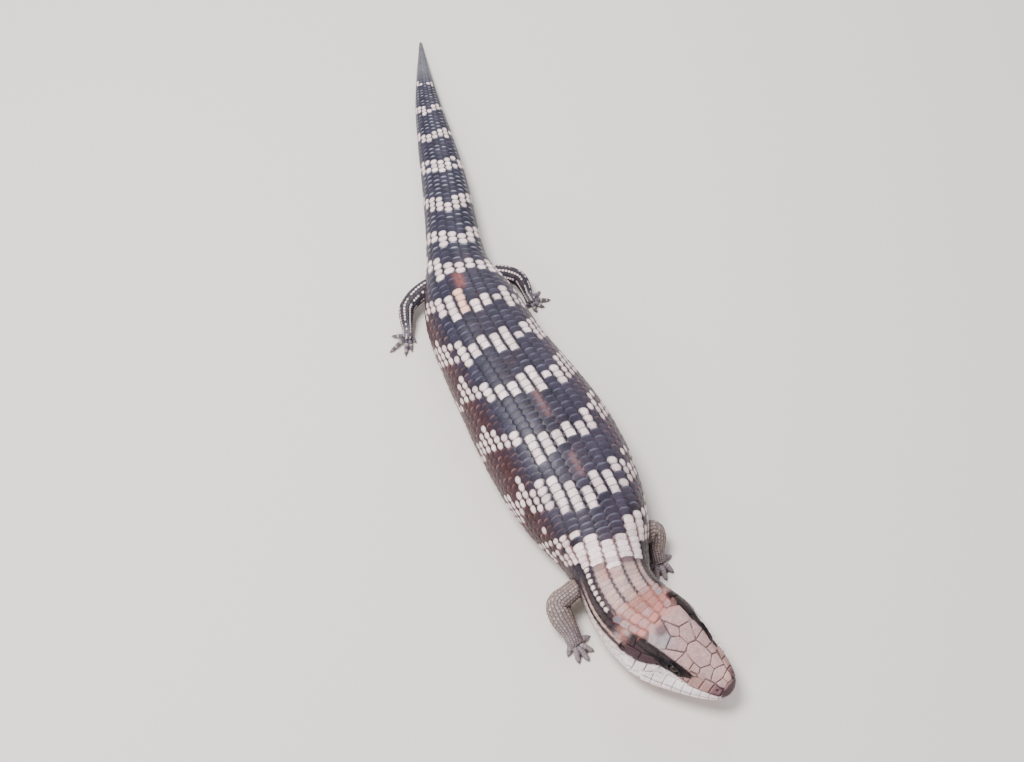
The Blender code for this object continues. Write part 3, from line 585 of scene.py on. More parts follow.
def ground(s, a):
    """The colour between the cream bands at every place of the body."""
    s, a = np.broadcast_arrays(np.asarray(s, float), np.asarray(a, float))
    reach = np.abs(a)
    back = lay(BLUE_BLACK, (PLUM, fade(reach, 3, 14) * (0.45 + 0.4 * wander(s, a, 23, 4)) * (s < TRUNK_END)),
               (BLUE_BLACK * 0.62, cloud(s, a, 13, 8)),
               (VIOLET, 0.35 * patch(s, reach, (84, 150), (-9, 26), 9) * ease(wander(s, a, 41, 2), -0.7, 0.4)),
               (VIOLET, 0.4 * ease(a, 8, 20) * (s < TRUNK_END)))
    flank = lay(RED_BROWN, (PLUM, cloud(s, a, 15, 7)), (VIOLET * 1.1, 0.65 * (a > 0)))
    belly = mix(BELLY, PLUM * 2.2, 0.35 * ease(wander(s, 0 * a, 31, 2), -0.2, 0.4))
    body = lay(back, (flank, ease(reach, 22, 36) * fade(s, 285, 330)),
               (INK * 3, 0.9 * hill(reach, 14.5, 16.5, 25, 31) * fade(s, 104, 122)), (TAIL_GREY, ease(s, 440, 458)),
               (PINK * 0.8, 0.5 * patch(s, a, (272, 284), (-6.5, -2), 2.5)),
               (PINK_SHEEN_AND_MAUVE, 0.35 * patch(s, a, (172, 192), (-1, 2), 2)),
               (PINK_SHEEN_AND_MAUVE, 0.35 * patch(s, a, (134, 148), (-1, 2), 2)),
               (belly, ease(reach / half_arc(s), 0.66, 0.74) * fade(s, 380, 450)),
               (neck_colour(s, a), fade(s + 0.010 * a * a, 80, 94)))
    return mix(head_colour(np.minimum(s, HEAD_END), a), body, ease(s, 52, 58))


# %% [markdown]
# ## Making meshes
#
# Every piece below comes down to arrays: points, faces, a colour for each point, and for the coat a small patch of
# the OFBake map for each scale. One helper turns them into a mesh, so that no step needs a loop over its points.

# %% Making meshes
SHARP_ANGLE = math.radians(50)
PATCH = 0.0030
RIM_DARK = 0.78


def make(name, points, faces, tint, patches=None):
    """A mesh object from points in millimetres, a list of face arrays, one for each number of corners, a colour for
    each point, and its place in the OFBake map where it has one."""
    mesh = bpy.data.meshes.new(name)
    mesh.from_pydata((np.asarray(points) * MM).tolist(), [], [face for block in faces for face in block.tolist()])
    if patches is not None:
        corner = np.empty(len(mesh.loops), np.int32)
        mesh.loops.foreach_get("vertex_index", corner)
        mesh.uv_layers.new(name="OFBake").data.foreach_set("uv", np.asarray(patches)[corner].ravel())
    colours = np.column_stack([np.clip(tint, 0, 1), np.ones(len(tint))])
    mesh.attributes.new("tint", "FLOAT_COLOR", "POINT").data.foreach_set("color", colours.ravel())
    mesh.shade_smooth()
    mesh.set_sharp_from_angle(angle=SHARP_ANGLE)
    made = bpy.data.objects.new(name, mesh)
    bpy.context.scene.collection.objects.link(made)
    return made


def join(name, shells):
    """One piece from several shells of points, faces, colours and bake places."""
    points, faces, tints, patches = zip(*shells)
    starts = sums([len(shell) for shell in points])
    blocks = [block + start for shell, start in zip(faces, starts) for block in shell]
    return make(name, np.concatenate(points), blocks, np.concatenate(tints),
                None if patches[0] is None else np.concatenate(patches))


def copies_of(count, faces, size):
    """The faces of one template repeated for many copies, each with its own points."""
    shift = (np.arange(count) * size)[:, None, None]
    return (faces[None] + shift).reshape(-1, faces.shape[1])


def bake_place(s, a):
    """Where a place of the body lies on the unrolled skin: along by s, and up by the arc, in a strip of the map that
    leaves its top to the legs."""
    return np.stack([0.01 + 0.98 * s / TAIL_END, 0.33 + 0.31 * a / 102], axis=-1)


def lay_scales(name, spots, tints, dark, roots):
    """Joins many scales into one piece. spots holds each scale's points, tints their ground colours, dark a number
    for each scale that says how strongly its rim is darkened, and roots their places on the unrolled skin, round
    which each has a small patch of its own."""
    count, size = spots.shape[:2]
    tint = tints * (1 - RIM_DARK * dark[:, None] * RIM)[..., None]
    faces = [copies_of(count, block, size) for block in (QUADS, FAN, BASE)]
    patches = roots[:, None] + PATCH * np.stack([ALONG - 0.5, 0.5 * ACROSS], axis=-1)
    print(f"{name}: {count} scales")
    return make(name, spots.reshape(-1, 3), faces, tint.reshape(-1, 3), patches.reshape(-1, 2))


# %% [markdown]
# ## Shields of the head
#
# The top and sides of the head are covered by large plates in a fixed pattern that names the kind of skink: a
# rostral on the snout, frontonasal and prefrontals, a long frontal, supraoculars over each eye, frontoparietals, an
# interparietal, parietals, and rows of labials along the lips. Each is drawn here by its corners, as the distance
# back d and the share v. A shield on the midline lists its left half only.

# %% The pattern of the shields
TIP = 0.06
MIDLINE_SHIELDS = [[(TIP, 0.02), (TIP, 0.515), (3.1, 0.515), (3.1, 0.25), (3.4, 0.06)],
                   [(7, 0.03), (8, 0.2), (10.2, 0.205), (12.2, 0.03)],
                   [(15.6, 0.02), (17.9, 0.125), (22, 0.115), (27.4, 0.085), (29.2, 0.02)],
                   [(35.1, 0.012), (38, 0.05), (44.6, 0.012)]]
SHIELDS = [[(3.6, 0), (3.1, 0.2), (5.2, 0.235), (7.6, 0.2), (6.6, 0)],
           [(12.6, 0), (10.6, 0.21), (16.4, 0.215), (17.6, 0.13), (15.2, 0)],
           [(17.9, 0.135), (16.9, 0.215), (21.4, 0.23), (21.6, 0.12)],
           [(21.9, 0.12), (21.7, 0.232), (28.8, 0.236), (27.8, 0.09)],
           [(28.1, 0.1), (29.1, 0.236), (35, 0.225), (36, 0.17)],
           [(29.6, 0), (28.2, 0.085), (36, 0.165), (37.8, 0.06), (34.8, 0)],
           [(38.2, 0.06), (36.3, 0.17), (38.4, 0.205), (45, 0.205), (48.2, 0.12), (47.6, 0), (44.9, 0.015)],
           [(3.2, 0.27), (7.8, 0.235), (8.2, 0.44), (3.6, 0.44)],
           [(8.2, 0.225), (12.6, 0.235), (13, 0.44), (8.6, 0.44)],
           [(13, 0.24), (17, 0.28), (18.6, 0.3), (19, 0.44), (13.4, 0.44)],
           [(18.9, 0.285), (22, 0.285), (22.4, 0.36), (21.6, 0.4), (19.4, 0.42)],
           [(37, 0.27), (38.4, 0.215), (44.8, 0.215), (49.8, 0.235), (49.2, 0.325), (43.8, 0.31)],
           [(50.3, 0.235), (54.6, 0.25), (53.2, 0.34), (49.7, 0.325)],
           [(34.4, 0.33), (35.8, 0.275), (41.6, 0.31), (44.6, 0.32), (45, 0.42), (39.8, 0.385)],
           [(45, 0.325), (53.2, 0.35), (52, 0.435), (45.4, 0.425)],
           [(34, 0.37), (39.6, 0.395), (39.8, 0.49), (36, 0.45)],
           [(35.1, 0.462), (36.2, 0.458), (39.9, 0.496), (40.4, 0.534), (35.1, 0.534)],
           [(40, 0.4), (45.4, 0.435), (45.6, 0.52), (40.2, 0.495)],
           [(45.9, 0.44), (52, 0.445), (51.6, 0.53), (46, 0.525)]]
CHIN_SHIELDS = [[(7.9, 0.632), (13.6, 0.632), (13.8, 0.99), (8.0, 0.99)],
                [(13.8, 0.632), (20.5, 0.632), (20.3, 0.9), (14.1, 0.98)],
                [(20.7, 0.632), (28, 0.632), (27.4, 0.82), (20.7, 0.88)],
                [(28.2, 0.632), (34.5, 0.632), (34, 0.74), (28, 0.78)]]
MENTALS = [[(TIP, 0.555), (3.2, 0.555), (3.4, 0.64), (3.7, 1), (3.4, 1.36), (3.2, 1.445), (TIP, 1.445)],
           [(3.8, 0.632), (7.7, 0.632), (7.8, 1), (7.7, 1.368), (3.8, 1.368)]]
BROW_ROW = ([17.2, 20.4, 23.8, 27.2, 30.6, 34], 0.247, 0.277)
UPPER_LIP = ([3.3, 7.2, 11.2, 15.4, 19.8, 24.4, 29.4, 35], 0.447, 0.534)
LOWER_LIP = ([3.3, 7.2, 11.2, 15.4, 19.8, 24.4, 29.4, 35, 40.5], 0.546, 0.626)


def row_of(edges, top, foot):
    """The corners of a row of four-cornered shields."""
    return [[(a, top), (a, foot), (b, foot), (b, top)] for a, b in zip(edges, edges[1:])]


ALL_SHIELDS = [half + [(d, -v) for d, v in half[::-1]] for half in MIDLINE_SHIELDS] + MENTALS
for corners in SHIELDS + row_of(*BROW_ROW) + row_of(*UPPER_LIP) + row_of(*LOWER_LIP) + CHIN_SHIELDS:
    ALL_SHIELDS += [corners, [(d, -v) for d, v in corners]]
print("shields:", len(ALL_SHIELDS))


# %% [markdown]
# ## Making one shield
#
# A shield is a thin plate that follows the head, with a rounded edge and a narrow dark groove round it. Its outline
# is walked in steps of four tenths of a millimetre, its corners are eased, and the whole is moved in from the
# groove. Rings inside it rise over the rounded edge to a flat, slightly crowned top. A bevelled block would be
# flat, and would cut through the curve of the head.

# %% Making one shield
# Half the groove between shields, the step of the walk, how far a corner's curve reaches, and at most which share of
# the side; then the millimetres that a whole share v is about worth, and how narrow a shield has its full height.
SEAM = 0.10
SHIELD_PATH = 0.42
CORNER = 0.55
CORNER_SHARE = 0.35
SHARE_MM = 50
FULL_WIDTH = 0.75
FEWEST_STEPS = 14
SHIELD_ROOT = -0.9
# Rings of a shield from its foot up: how far in from the edge, height, and how dark its rim is there.
SHIELD_RINGS = [(0, SHIELD_ROOT, 1), (0, 0.04, 0.9), (0.06, 0.17, 0.45), (0.18, 0.28, 0.1), (0.42, 0.34, 0)]
SHIELD_SHARES = [0.72, 0.45, 0.2]
NOSTRIL_SHARES = [0.8, 0.62, 0.5, 0.42, 0.34, 0.27, 0.2, 0.1]
NASAL_START = 3.2
SHIELD_CROWN = 0.36
GROOVE = np.array([0.42, 0.55, 0.50])
POLE = 0.02


def start_line(corners, s):
    """Where a shield's width is measured from: the chin for one that crosses it, and the crown for the others."""
    return half_arc(s) * (max(v for _, v in corners) > 1)


def walk(corners):
    """Even steps along the outline of a shield, as the distance back and the width from its start line, with each
    corner eased by a short curve."""
    corners = np.array(corners, float)
    flat = corners * [1, SHARE_MM]
    t = np.linspace(0, 1, 4)[:, None]
    points = []
    for before, here, after in zip(np.roll(flat, 1, axis=0), flat, np.roll(flat, -1, axis=0)):
        near, far = (here + (other - here) * min(CORNER_SHARE, CORNER / np.linalg.norm(other - here))
                     for other in (before, after))
        points.append((1 - t) ** 2 * near + 2 * t * (1 - t) * here + t * t * far)
    s, v = np.concatenate(points + [points[0][:1]]).T
    path = np.column_stack([s, arc_at(s, v / SHARE_MM) - start_line(corners, s)])
    dense = lengths(path)
    count = max(FEWEST_STEPS, round(dense[-1] / SHIELD_PATH))
    at = np.arange(count) * dense[-1] / count
    return np.column_stack([np.interp(at, dense, row) for row in path.T])


def drawn_to_tip(flat):
    """Stretches the front millimetre of a shield that starts at the tip of the snout, so that its edge lies close
    round the pole of the sheet, and keeps each point's share of the way round."""
    s = flat[:, 0]
    nearer = np.where(s < 1, np.maximum(1 - (1 - s) * (1 - POLE) / (1 - TIP - SEAM), POLE), s)
    return np.column_stack([nearer, flat[:, 1] * half_arc(nearer) / half_arc(s)])


def shield(corners):
    """Points of one shield with their ring darkness: the outline moved in by steps, then shrunk to its middle. The
    shield that holds the nostril shrinks to the nostril, in finer rings."""
    edge = walk(corners)
    middle = edge.mean(axis=0)
    shares = SHIELD_SHARES
    if corners[0][0] == NASAL_START:
        middle = np.array([NOSTRIL[0], math.copysign(NOSTRIL[1], corners[0][1])])
        shares = NOSTRIL_SHARES
    after = np.roll(edge, -1, axis=0)
    ahead = unit(after - np.roll(edge, 1, axis=0))
    area = 0.5 * np.sum(edge[:, 0] * after[:, 1] - after[:, 0] * edge[:, 1])
    inward = np.column_stack([-ahead[:, 1], ahead[:, 0]]) * np.sign(area)
    fit = min(1, abs(area) / np.linalg.norm(after - edge, axis=1).sum() / FULL_WIDTH)
    edge = edge + inward * SEAM
    rows = [(edge + inward * step * fit, height * (fit if height > 0 else 1), dark)
            for step, height, dark in SHIELD_RINGS]
    inner, shoulder = rows[-1][0], SHIELD_RINGS[-1][1]
    rows += [(middle + (inner - middle) * share, (shoulder + (SHIELD_CROWN - shoulder) * (1 - share)) * fit, 0)
             for share in shares]
    rows.append((middle[None], SHIELD_CROWN * fit, 0))
    flat = np.concatenate([row for row, _, _ in rows])
    height, dark = (np.concatenate([np.full(len(row[0]), float(row[k])) for row in rows]) for k in (1, 2))
    if corners[0][0] == TIP:
        flat = drawn_to_tip(flat)
    flat[:, 1] += start_line(corners, flat[:, 0])
    count = len(edge)
    turn = 1 if area > 0 else -1
    faces = [rings_of_faces(len(rows) - 1, count)[:, ::turn],
             fan_of_faces((len(rows) - 2) * count, count, len(flat) - 1)[:, ::turn], np.arange(count)[::-turn][None]]
    return flat, height, dark, faces


def dress_head(outlines, name, seed):
    """Joins the shields into one piece, each a little lighter or darker than the next."""
    rng = np.random.default_rng(seed)
    shells = []
    for corners in outlines:
        flat, height, dark, faces = shield(corners)
        s, a = flat.T
        faint = 0.62 + 0.38 * wander(s, a, 6, seed)
        tint = ground(s, a) * (1 + rng.uniform(-0.10, 0.07)) * (1 - GROOVE * (dark * faint)[:, None])
        where = bake_place(s, a)
        foot = faces[-1].size
        where[:foot] = where[foot:].mean(axis=0) + (where[:foot] - where[:foot].mean(axis=0)) * 0.02
        shells.append((on_body(s, a, height), faces, tint, where))
    made = join(name, shells)
    print(f"{name}: {len(outlines)} shields, {len(made.data.polygons)} faces")
    return made


head_shields = dress_head(ALL_SHIELDS, "head_shields", 3)

# %% [markdown]
# ## Keeping scales off the shields
#
# Rows of scales would run on over the head. A scale is left out where its middle lies inside a shield's outline,
# inside the eye's surroundings, or on the snout. The test is the even-odd rule: a line from the point crosses the
# outline an odd number of times when the point is inside.

# %% Keeping scales off the shields
def odd_crossings(x0, y0, x, y):
    """True where a line from (x, y) crosses a closed outline an odd number of times."""
    x1, y1 = np.roll(x0, -1, axis=-1), np.roll(y0, -1, axis=-1)
    x, y = x[:, None], y[:, None]
    crosses = (y0 > y) != (y1 > y)
    with np.errstate(divide="ignore", invalid="ignore"):
        at = x0 + (y - y0) / (y1 - y0) * (x1 - x0)
    return (crosses & (x < at)).sum(axis=1) % 2 == 1


def inside(corners, s, v):
    """True where (s, v) lies inside the outline."""
    return odd_crossings(*np.array(corners, float).T, s, v)


def on_shields(s, v):
    """True where any shield covers the place."""
    covered = np.zeros(len(s), bool)
    for corners in ALL_SHIELDS:
        covered |= inside(corners, s, v)
        covered |= inside(corners, s, np.where(v < 0, v + 2, v - 2))
    return covered


# The eye's surroundings as an outline, the snout and the mouth that stay bare, and the first scale's place.
EYE_REGION = [(16.5, 0.26), (36, 0.26), (36, 0.5), (16.5, 0.46)]
SNOUT_END = 15
MOUTH_SHARE = 0.66
FIRST_SCALE = 6


def free_for_rows(s, a):
    """True where the long rows of scales may stand."""
    v = share_at(s, a)
    eye = inside(EYE_REGION, s, v) | inside(EYE_REGION, s, -v)
    snout = (s < SNOUT_END) & (np.abs(v) < MOUTH_SHARE)
    ear = away(s, a, EAR) < 1.15
    return ~(on_shields(s, v) | eye | snout | ear | (s < FIRST_SCALE))


# %% [markdown]
# ## The coat of the body
#
# Each scale is a small closed dome of 79 faces, whose root is sunk under the scales in front of it and whose
# tip lies on the next. All the scales of a length of the body are worked out as one array: the row gives the place
# across, the step along the row gives the place along, and the template gives the points. On the back a cream
# scale is a long pale streak between dark seams, and on the flanks it is a dot with a dark border.

# %% The coat of the body
# A scale's length in steps and half its width in rows, where its own place lies along it, how deep its root and the
# whole of it sink, and the size in millimetres at which it has its full height. Then how far from the end of a tube
# the scales stop, and for how many rows a ragged end of the bands is drawn.
LAP = 1.75
SCALE_HALF = 0.63
SCALE_AT = 0.68
ROOT_DEPTH = 0.85
SCALE_SUNK = 0.12
FULL_SCALE = 5.2
END_GAP = 1.2
RAGGED_ROWS = 200
PHASE_S = np.arange(0, TAIL_END + 0.5, 0.5)
PHASE = sums(0.5 / scale_step(PHASE_S[:-1] + 0.25))


def coat_roots(start, end):
    """Row numbers and places of every scale whose exposed middle lies between start and end."""
    most = int(row_number(PHASE_S, half_arc(PHASE_S)).max()) + 2
    row, step = np.meshgrid(np.arange(-most, most + 1), np.arange(int(PHASE[-1]) + 1), indexing="ij")
    row = row.ravel()
    s = np.interp(step.ravel() + 0.5 * (row % 2), PHASE, PHASE_S)
    a = row_place(row + ROW_SHIFT, s)
    keep = (s >= start) & (s < min(end, TAIL_END - END_GAP)) & (np.abs(a) < half_arc(s) + 0.2 * row_width(s))
    row, s, a = row[keep], s[keep], a[keep]
    keep = (s > HEAD_END) | free_for_rows(s, a)
    return row[keep], s[keep], a[keep]


def coat_shape(rng, row, s):
    """Where each scale's points lie, and how high: the template set on its row, with a little chance in its size, its
    turn and its tilt."""
    size, turn, tilt = (rng.uniform(low, high, (len(row), 1))
                        for low, high in ((0.965, 1.035), (-0.035, 0.035), (-0.06, 0.05)))
    across = ACROSS * SCALE_HALF * size
    along = (ALONG - SCALE_AT) * LAP * size
    step = scale_step(s)[:, None]
    width = (row_place(row + ROW_SHIFT + 0.5, s) - row_place(row + ROW_SHIFT - 0.5, s))[:, None]
    scale_s = s[:, None] + along * step - turn * across * width
    scale_a = row_place(row[:, None] + ROW_SHIFT + across, scale_s) + turn * along * step
    fine = np.clip(0.5 * (width + step) / FULL_SCALE, 0.3, 1.15)
    return scale_s, scale_a, (HEIGHT - (1 - ALONG) * ROOT_DEPTH + tilt - SCALE_SUNK) * fine


def blob(wide, half_width, middle, half_length, core):
    """A soft oval on a scale: 1 inside the core and 0 at the rim."""
    return fade(np.hypot(wide / half_width, (ALONG - middle) / half_length), core, 1.0)


def cream_mark(wide, s, reach, on_flank, collar_end):
    """How pale each point of a cream scale is: a long streak on the back, a lump on the sides and toward the tail,
    and a dot on the flank."""
    narrow = 0.07 * (np.maximum(ALONG - 0.66, 0) / 0.34) ** 2 - 0.08 * collar_end
    streak = fade(wide + narrow, 0.28, 0.37) * (1 - (0.6 - 0.45 * collar_end) * ease(ALONG, 0.86, 0.96))
    lumpy = np.maximum(ease(s, 245, 290)[:, None], ease(reach, 13, 23)[:, None] * (1 - collar_end))
    streak = streak + (blob(wide, 0.47, 0.70, 0.31, 0.72) - streak) * lumpy
    return streak * (1 - on_flank) + blob(wide, 0.44, 0.70, 0.30, 0.70) * on_flank


def dark_scales(rng, tints, s, a, wide, cream, on_flank):
    """The colours of the scales between the marks: a painted sheen on their rear edges, painted glints on the tail,
    darker rims round the cream, and plates with pink borders on the nape."""
    count = len(s)
    # A painted highlight: the rear edge of each dark scale is lightened toward a blue sheen on the back and a pink one
    # on the flanks.
    sheen = (0.14 + 0.50 * rng.random((count, 1))) * (fade(s, 440, 460) * (s > 92))[:, None]
    # Painted glints: bright blue-grey arcs on the rear edges of about six in ten scales of the tail.
    glint = (rng.random(count) < 0.6) * hill(s, 286, 300, 440, 450)
    bare = lay(tints, (mix(SHEEN_BLUE, PINK_SHEEN_AND_MAUVE, on_flank), sheen * ease(ALONG, 0.80, 0.97)),
               (BLUE_GREY * 1.9, 0.6 * glint[:, None] * ease(ALONG, 0.80, 0.90) * fade(wide, 0.20, 0.40)))
    bare = mix(bare * (1 - 0.25 * (cream * (s > 98))[:, None, None]), PINK_SHEEN_AND_MAUVE * 0.7,
               (0.5 * cream * fade(s, 100, 112) * (s > 80))[:, None])
    plate = ground(s, a)[:, None, :] * rng.uniform(0.85, 1.15, (count, 1, 1))
    border = np.maximum(ease(wide, 0.30, 0.45), ease(ALONG, 0.84, 0.95))
    plate = lay(plate, (BLUE_GREY * 1.5, 0.3 * (rng.random((count, 1)) < 0.25)), (PINK * 0.65, 0.7 * border))
    nape = (s > 48) & (s < 65) & (np.abs(a) < 15)
    return np.where(nape[:, None, None], plate, bare)


def coat(name, start, end, seed):
    """One length of the coat. A scale's points come from the template, its row and its step, and its colours from
    the band, the collar or the dark ground in which it stands."""
    rng = np.random.default_rng(seed)
    row, s, a = coat_roots(start, end)
    count = len(row)
    scale_s, scale_a, height = coat_shape(rng, row, s)
    ragged = np.clip(np.random.default_rng(seed + 50).normal(0, 2.0, RAGGED_ROWS), -5, 2.6)[row % RAGGED_ROWS]
    depth = in_band(s, a) + ragged * (1 - 0.65 * ease(s, 290, 325)) + rng.uniform(-0.9, 0.9, count)
    reach = np.abs(a)
    flank = ease(reach, 20, 28) * (s < TRUNK_END)
    on_flank = flank[:, None]
    cream = (depth > 0) * (rng.random(count) > 0.03 + 0.15 * flank) * (reach < 0.74 * half_arc(s))
    off_centre = rng.uniform(-0.025, 0.025, (count, 1))
    wide = np.abs(ACROSS * SCALE_HALF + off_centre) * rng.uniform(0.93, 1.08, (count, 1))
    collar_end = fade(s, 102, 112)
    mark = cream_mark(wide, s, reach, on_flank, collar_end[:, None])
    pale = CREAM * rng.uniform(0.86, 1.1, (count, 1)) * (1 - 0.10 * on_flank)
    pale = pale * mix(np.ones(3), np.array([1.0, 0.94, 0.98]), rng.random(count))
    bare = dark_scales(rng, ground(scale_s, scale_a), s, a, wide, cream, on_flank)
    scar = (row == -1) & (s > 254) & (s < 273)
    pale = np.where(scar[:, None], CREAM * [1.0, 0.72, 0.55], pale)
    cream = np.maximum(cream, scar)
    collar = ((row == -2) & (s > HEAD_END) | (row == 2) & (s > 84)) & (s < NECK_END)
    tints = lay(bare, (pale[:, None, :], cream[:, None] * mark),
                (CREAM, (0.95 * collar)[:, None] * blob(wide, 0.33, 0.72, 0.24, 0.60)))
    tints = tints * rng.uniform(0.88, 1.12, (count, 1, 1))
    dark = 0.8 + 0.2 * cream * (1 - 0.2 * flank) - 0.15 * ((s < NECK_END) & ~collar) - 0.4 * cream * collar_end
    return lay_scales(name, on_body(scale_s, scale_a, height), tints, dark, bake_place(s, a))


coat_pieces = [coat(*length) for length in (("neck_scales", FIRST_SCALE, NECK_END, 11),
                                            ("front_scales", NECK_END, 168, 12),
                                            ("middle_scales", 168, 240, 13), ("rear_scales", 240, TRUNK_END, 14),
                                            ("tail_scales", TRUNK_END, TAIL_END, 15))]


# %% [markdown]
# ## Small scales round the eye, and the ear's lobes
#
# Where the big shields end, the face is filled with granules: one or two millimetres across, so that the lids can
# move. They are the same little dome as a body scale. Round the eye they stand in two rings on the lids, and two
# larger lobes lean back over the front of each ear.

# %% Small scales of the face
def lay_small(name, places, lift, seed):
    """Places single scales. Each row of places is s, a, the turn of the tip from the tail toward the left side, and
    the scale's length and width."""
    rng = np.random.default_rng(seed)
    count = len(places)
    s, a, turn, length, width = places.T[..., None]
    along = (ALONG - 0.55) * length * rng.uniform(0.93, 1.07, (count, 1))
    across = ACROSS * 0.5 * width * rng.uniform(0.93, 1.07, (count, 1))
    turn = turn + rng.uniform(-0.12, 0.12, (count, 1))
    scale_s = s + along * np.cos(turn) - across * np.sin(turn)
    scale_a = a + along * np.sin(turn) + across * np.cos(turn)
    height = (HEIGHT - (1 - ALONG) * 0.3) * np.clip(length / 3, 0.45, 1) + lift
    tints = ground(scale_s, scale_a) * rng.uniform(0.85, 1.18, (count, 1, 1))
    return lay_scales(name, on_body(scale_s, scale_a, height), tints, np.full(count, 0.8), bake_place(*places[:, :2].T))


def granules(step):
    """A net of small scales over the eye's surroundings, but not on the eye or a shield."""
    s, a = np.meshgrid(np.arange(15.5, 37.5, step), np.arange(10, 34, step * 0.92))
    s = (s + 0.5 * step * (np.arange(len(a))[:, None] % 2)).ravel()
    a = a.ravel()
    v = share_at(s, a)
    lids = (*EYE[:2], EYE[2] + 1.7, EYE[3] + 1.7)
    keep = inside(EYE_REGION, s, v) & ~on_shields(s, v) & (away(s, a, lids) > 1)
    return np.column_stack([s[keep], a[keep], np.tile((0, 1.75, 1.35), (keep.sum(), 1))])


def ring_round(centre, out, count, length, width):
    """Even places on an oval this far outside another, each headed round it."""
    turn = ROUND * (np.arange(count) + 0.5) / count
    wide, high = centre[2] + out, centre[3] + out
    return np.column_stack([centre[0] + wide * np.cos(turn), centre[1] + high * np.sin(turn),
                            np.arctan2(high * np.cos(turn), -wide * np.sin(turn)),
                            np.full(count, length * 1.25), np.full(count, width)])


face = np.concatenate([granules(1.35), ring_round(EYE, 0.35, 20, 0.95, 0.72), ring_round(EYE, 1.1, 20, 1.2, 0.9),
                       ring_round(EAR, 0.55, 14, 1.5, 1.1),
                       [(52.4, EAR[1] - 1.7, 0, 2.6, 1.7), (52.2, EAR[1], 0, 2.9, 1.8),
                        (52.6, EAR[1] + 1.7, 0, 2.6, 1.7)]])
face_scales = lay_small("face_scales", np.concatenate([face, face * [1, -1, -1, 1, 1]]), 0.10, 21)

# %% [markdown]
# ## Legs and feet as sheets
#
# A leg is a bent tube of ovals along a curve through a few measured points, and the palm goes on from the wrist as
# the same tube, flatter and wider. A toe is a thinner tube of the same kind. Making them as sheets again gives a
# place for every scale, here by the distance along the limb and the angle round it.

# %% Limb sheets
# Half the thickness of a toe, the length of its claw, and the heights of the palm's middle and of the toes' roots.
FORE = (1.6, 2, 2.9, 2.5)
HIND = (1.25, 1.9, 2.7, 2.2)
# Each limb: rows of x, y, z, half width and half height down its curve, the palm's middle, the root and the tip of
# each toe as x, y, x, y, and its sizes.
LIMBS = {
    "foreleg_right": (
        [(-6, -101, 16, 5.6, 5.6), (-13, -103.8, 15.8, 5.4, 5.4), (-20, -106, 15, 5.5, 5.4),
         (-26.4, -108.6, 13.2, 6.3, 6), (-27, -115, 10.8, 6.5, 6), (-25.2, -122.8, 7.4, 4.9, 4.5)], (-24.3, -128.2),
        [(-20.4, -127, -15, -126.3), (-21.6, -130.2, -16.3, -135), (-23.4, -131.2, -20.6, -139.2),
         (-25.5, -131, -26.2, -138.6), (-27.4, -128.6, -30.4, -133)], FORE),
    "foreleg_left": (
        [(20, -91, 16, 6.2, 6), (28, -88.8, 16, 6.1, 5.8), (35.6, -88, 14, 5.9, 5.8), (36.2, -92, 11.4, 5.5, 5.2),
         (34.8, -96.2, 8, 4.5, 4.2)], (34.2, -101.8),
        [(37.4, -100.2, 43, -99.6), (36.6, -103.4, 40, -109.4), (34.4, -104.4, 34.6, -112.2),
         (32.2, -103.8, 29.8, -110.6), (30.8, -101.6, 26.6, -104.4)], FORE),
    "hindleg_right": (
        [(-12, 101, 13, 5.6, 5.6), (-22, 101, 12.4, 5.5, 5.6), (-31.8, 98.6, 11, 5.2, 5.2),
         (-39.4, 93.8, 9.4, 4.7, 4.6), (-42.2, 87.2, 7.4, 4, 3.9), (-43.4, 82, 5.6, 3.1, 3.1)], (-44.4, 79.4),
        [(-42.6, 78.2, -40.6, 74.4), (-44.2, 76.8, -45.2, 69.8), (-45.8, 77, -49.6, 68.4), (-47, 78.4, -57.4, 74),
         (-46.8, 80.6, -53, 84.2)], HIND),
    "hindleg_left": (
        [(5, 97.5, 13, 5.4, 5.4), (14, 96.4, 12.4, 5.2, 5.4), (22, 94, 11, 5.2, 5.2), (28, 89.6, 9.4, 4.6, 4.5),
         (29.6, 84.2, 7.4, 3.8, 3.8), (29.8, 80.4, 5.6, 3, 3.1)], (30.6, 77.4),
        [(28.8, 76.2, 26.4, 73), (30.2, 75, 31.6, 68.8), (32, 75, 37.2, 70.8), (33.4, 76.4, 42.2, 74.6),
         (33.2, 78.8, 38.8, 82.4)], HIND)}


def curve(points, count):
    """Evenly parted rows on a Catmull-Rom curve through the given rows."""
    points = np.asarray(points, float)
    padded = np.concatenate([2 * points[:1] - points[1:2], points, 2 * points[-1:] - points[-2:-1]])
    at = np.linspace(0, len(points) - 1, count)
    i = np.clip(at.astype(int), 0, len(points) - 2)
    t = (at - i)[:, None]
    a, b, c, d = (padded[i + k] for k in range(4))
    return b + 0.5 * t * (c - a + t * (2 * a - 5 * b + 4 * c - d + t * (3 * (b - c) + d - a)))


def tube_sheet(rows, stations, around, tip):
    """Ovals along a curve through rows of x, y, z, half width and half height, with a round end of the given
    length. The grid has one more column than the angles, so that it closes."""
    rows = curve(rows, stations)
    centre = rows[:, :3]
    ahead = unit(np.gradient(centre, axis=0))
    end = np.sin(np.linspace(0, math.pi / 2, 7)[1:-1])[:, None]
    centre = np.concatenate([centre, centre[-1] + tip * end * ahead[-1]])
    ahead = np.concatenate([ahead, np.repeat(ahead[-1:], len(end), axis=0)])
    radii = np.concatenate([rows[:, 3:], rows[-1, 3:] * np.sqrt(1 - end ** 2)])
    side = unit(np.cross(ahead, [0, 0, 1.0]))
    up = np.cross(side, ahead)
    angle = np.linspace(0, ROUND, around + 1)[:, None]
    spot = (centre[:, None] + radii[:, :1, None] * np.cos(angle) * side[:, None]
            + radii[:, 1:, None] * np.sin(angle) * up[:, None])
    spot[..., 2] = np.maximum(spot[..., 2], 0)
    return spot, centre, ahead


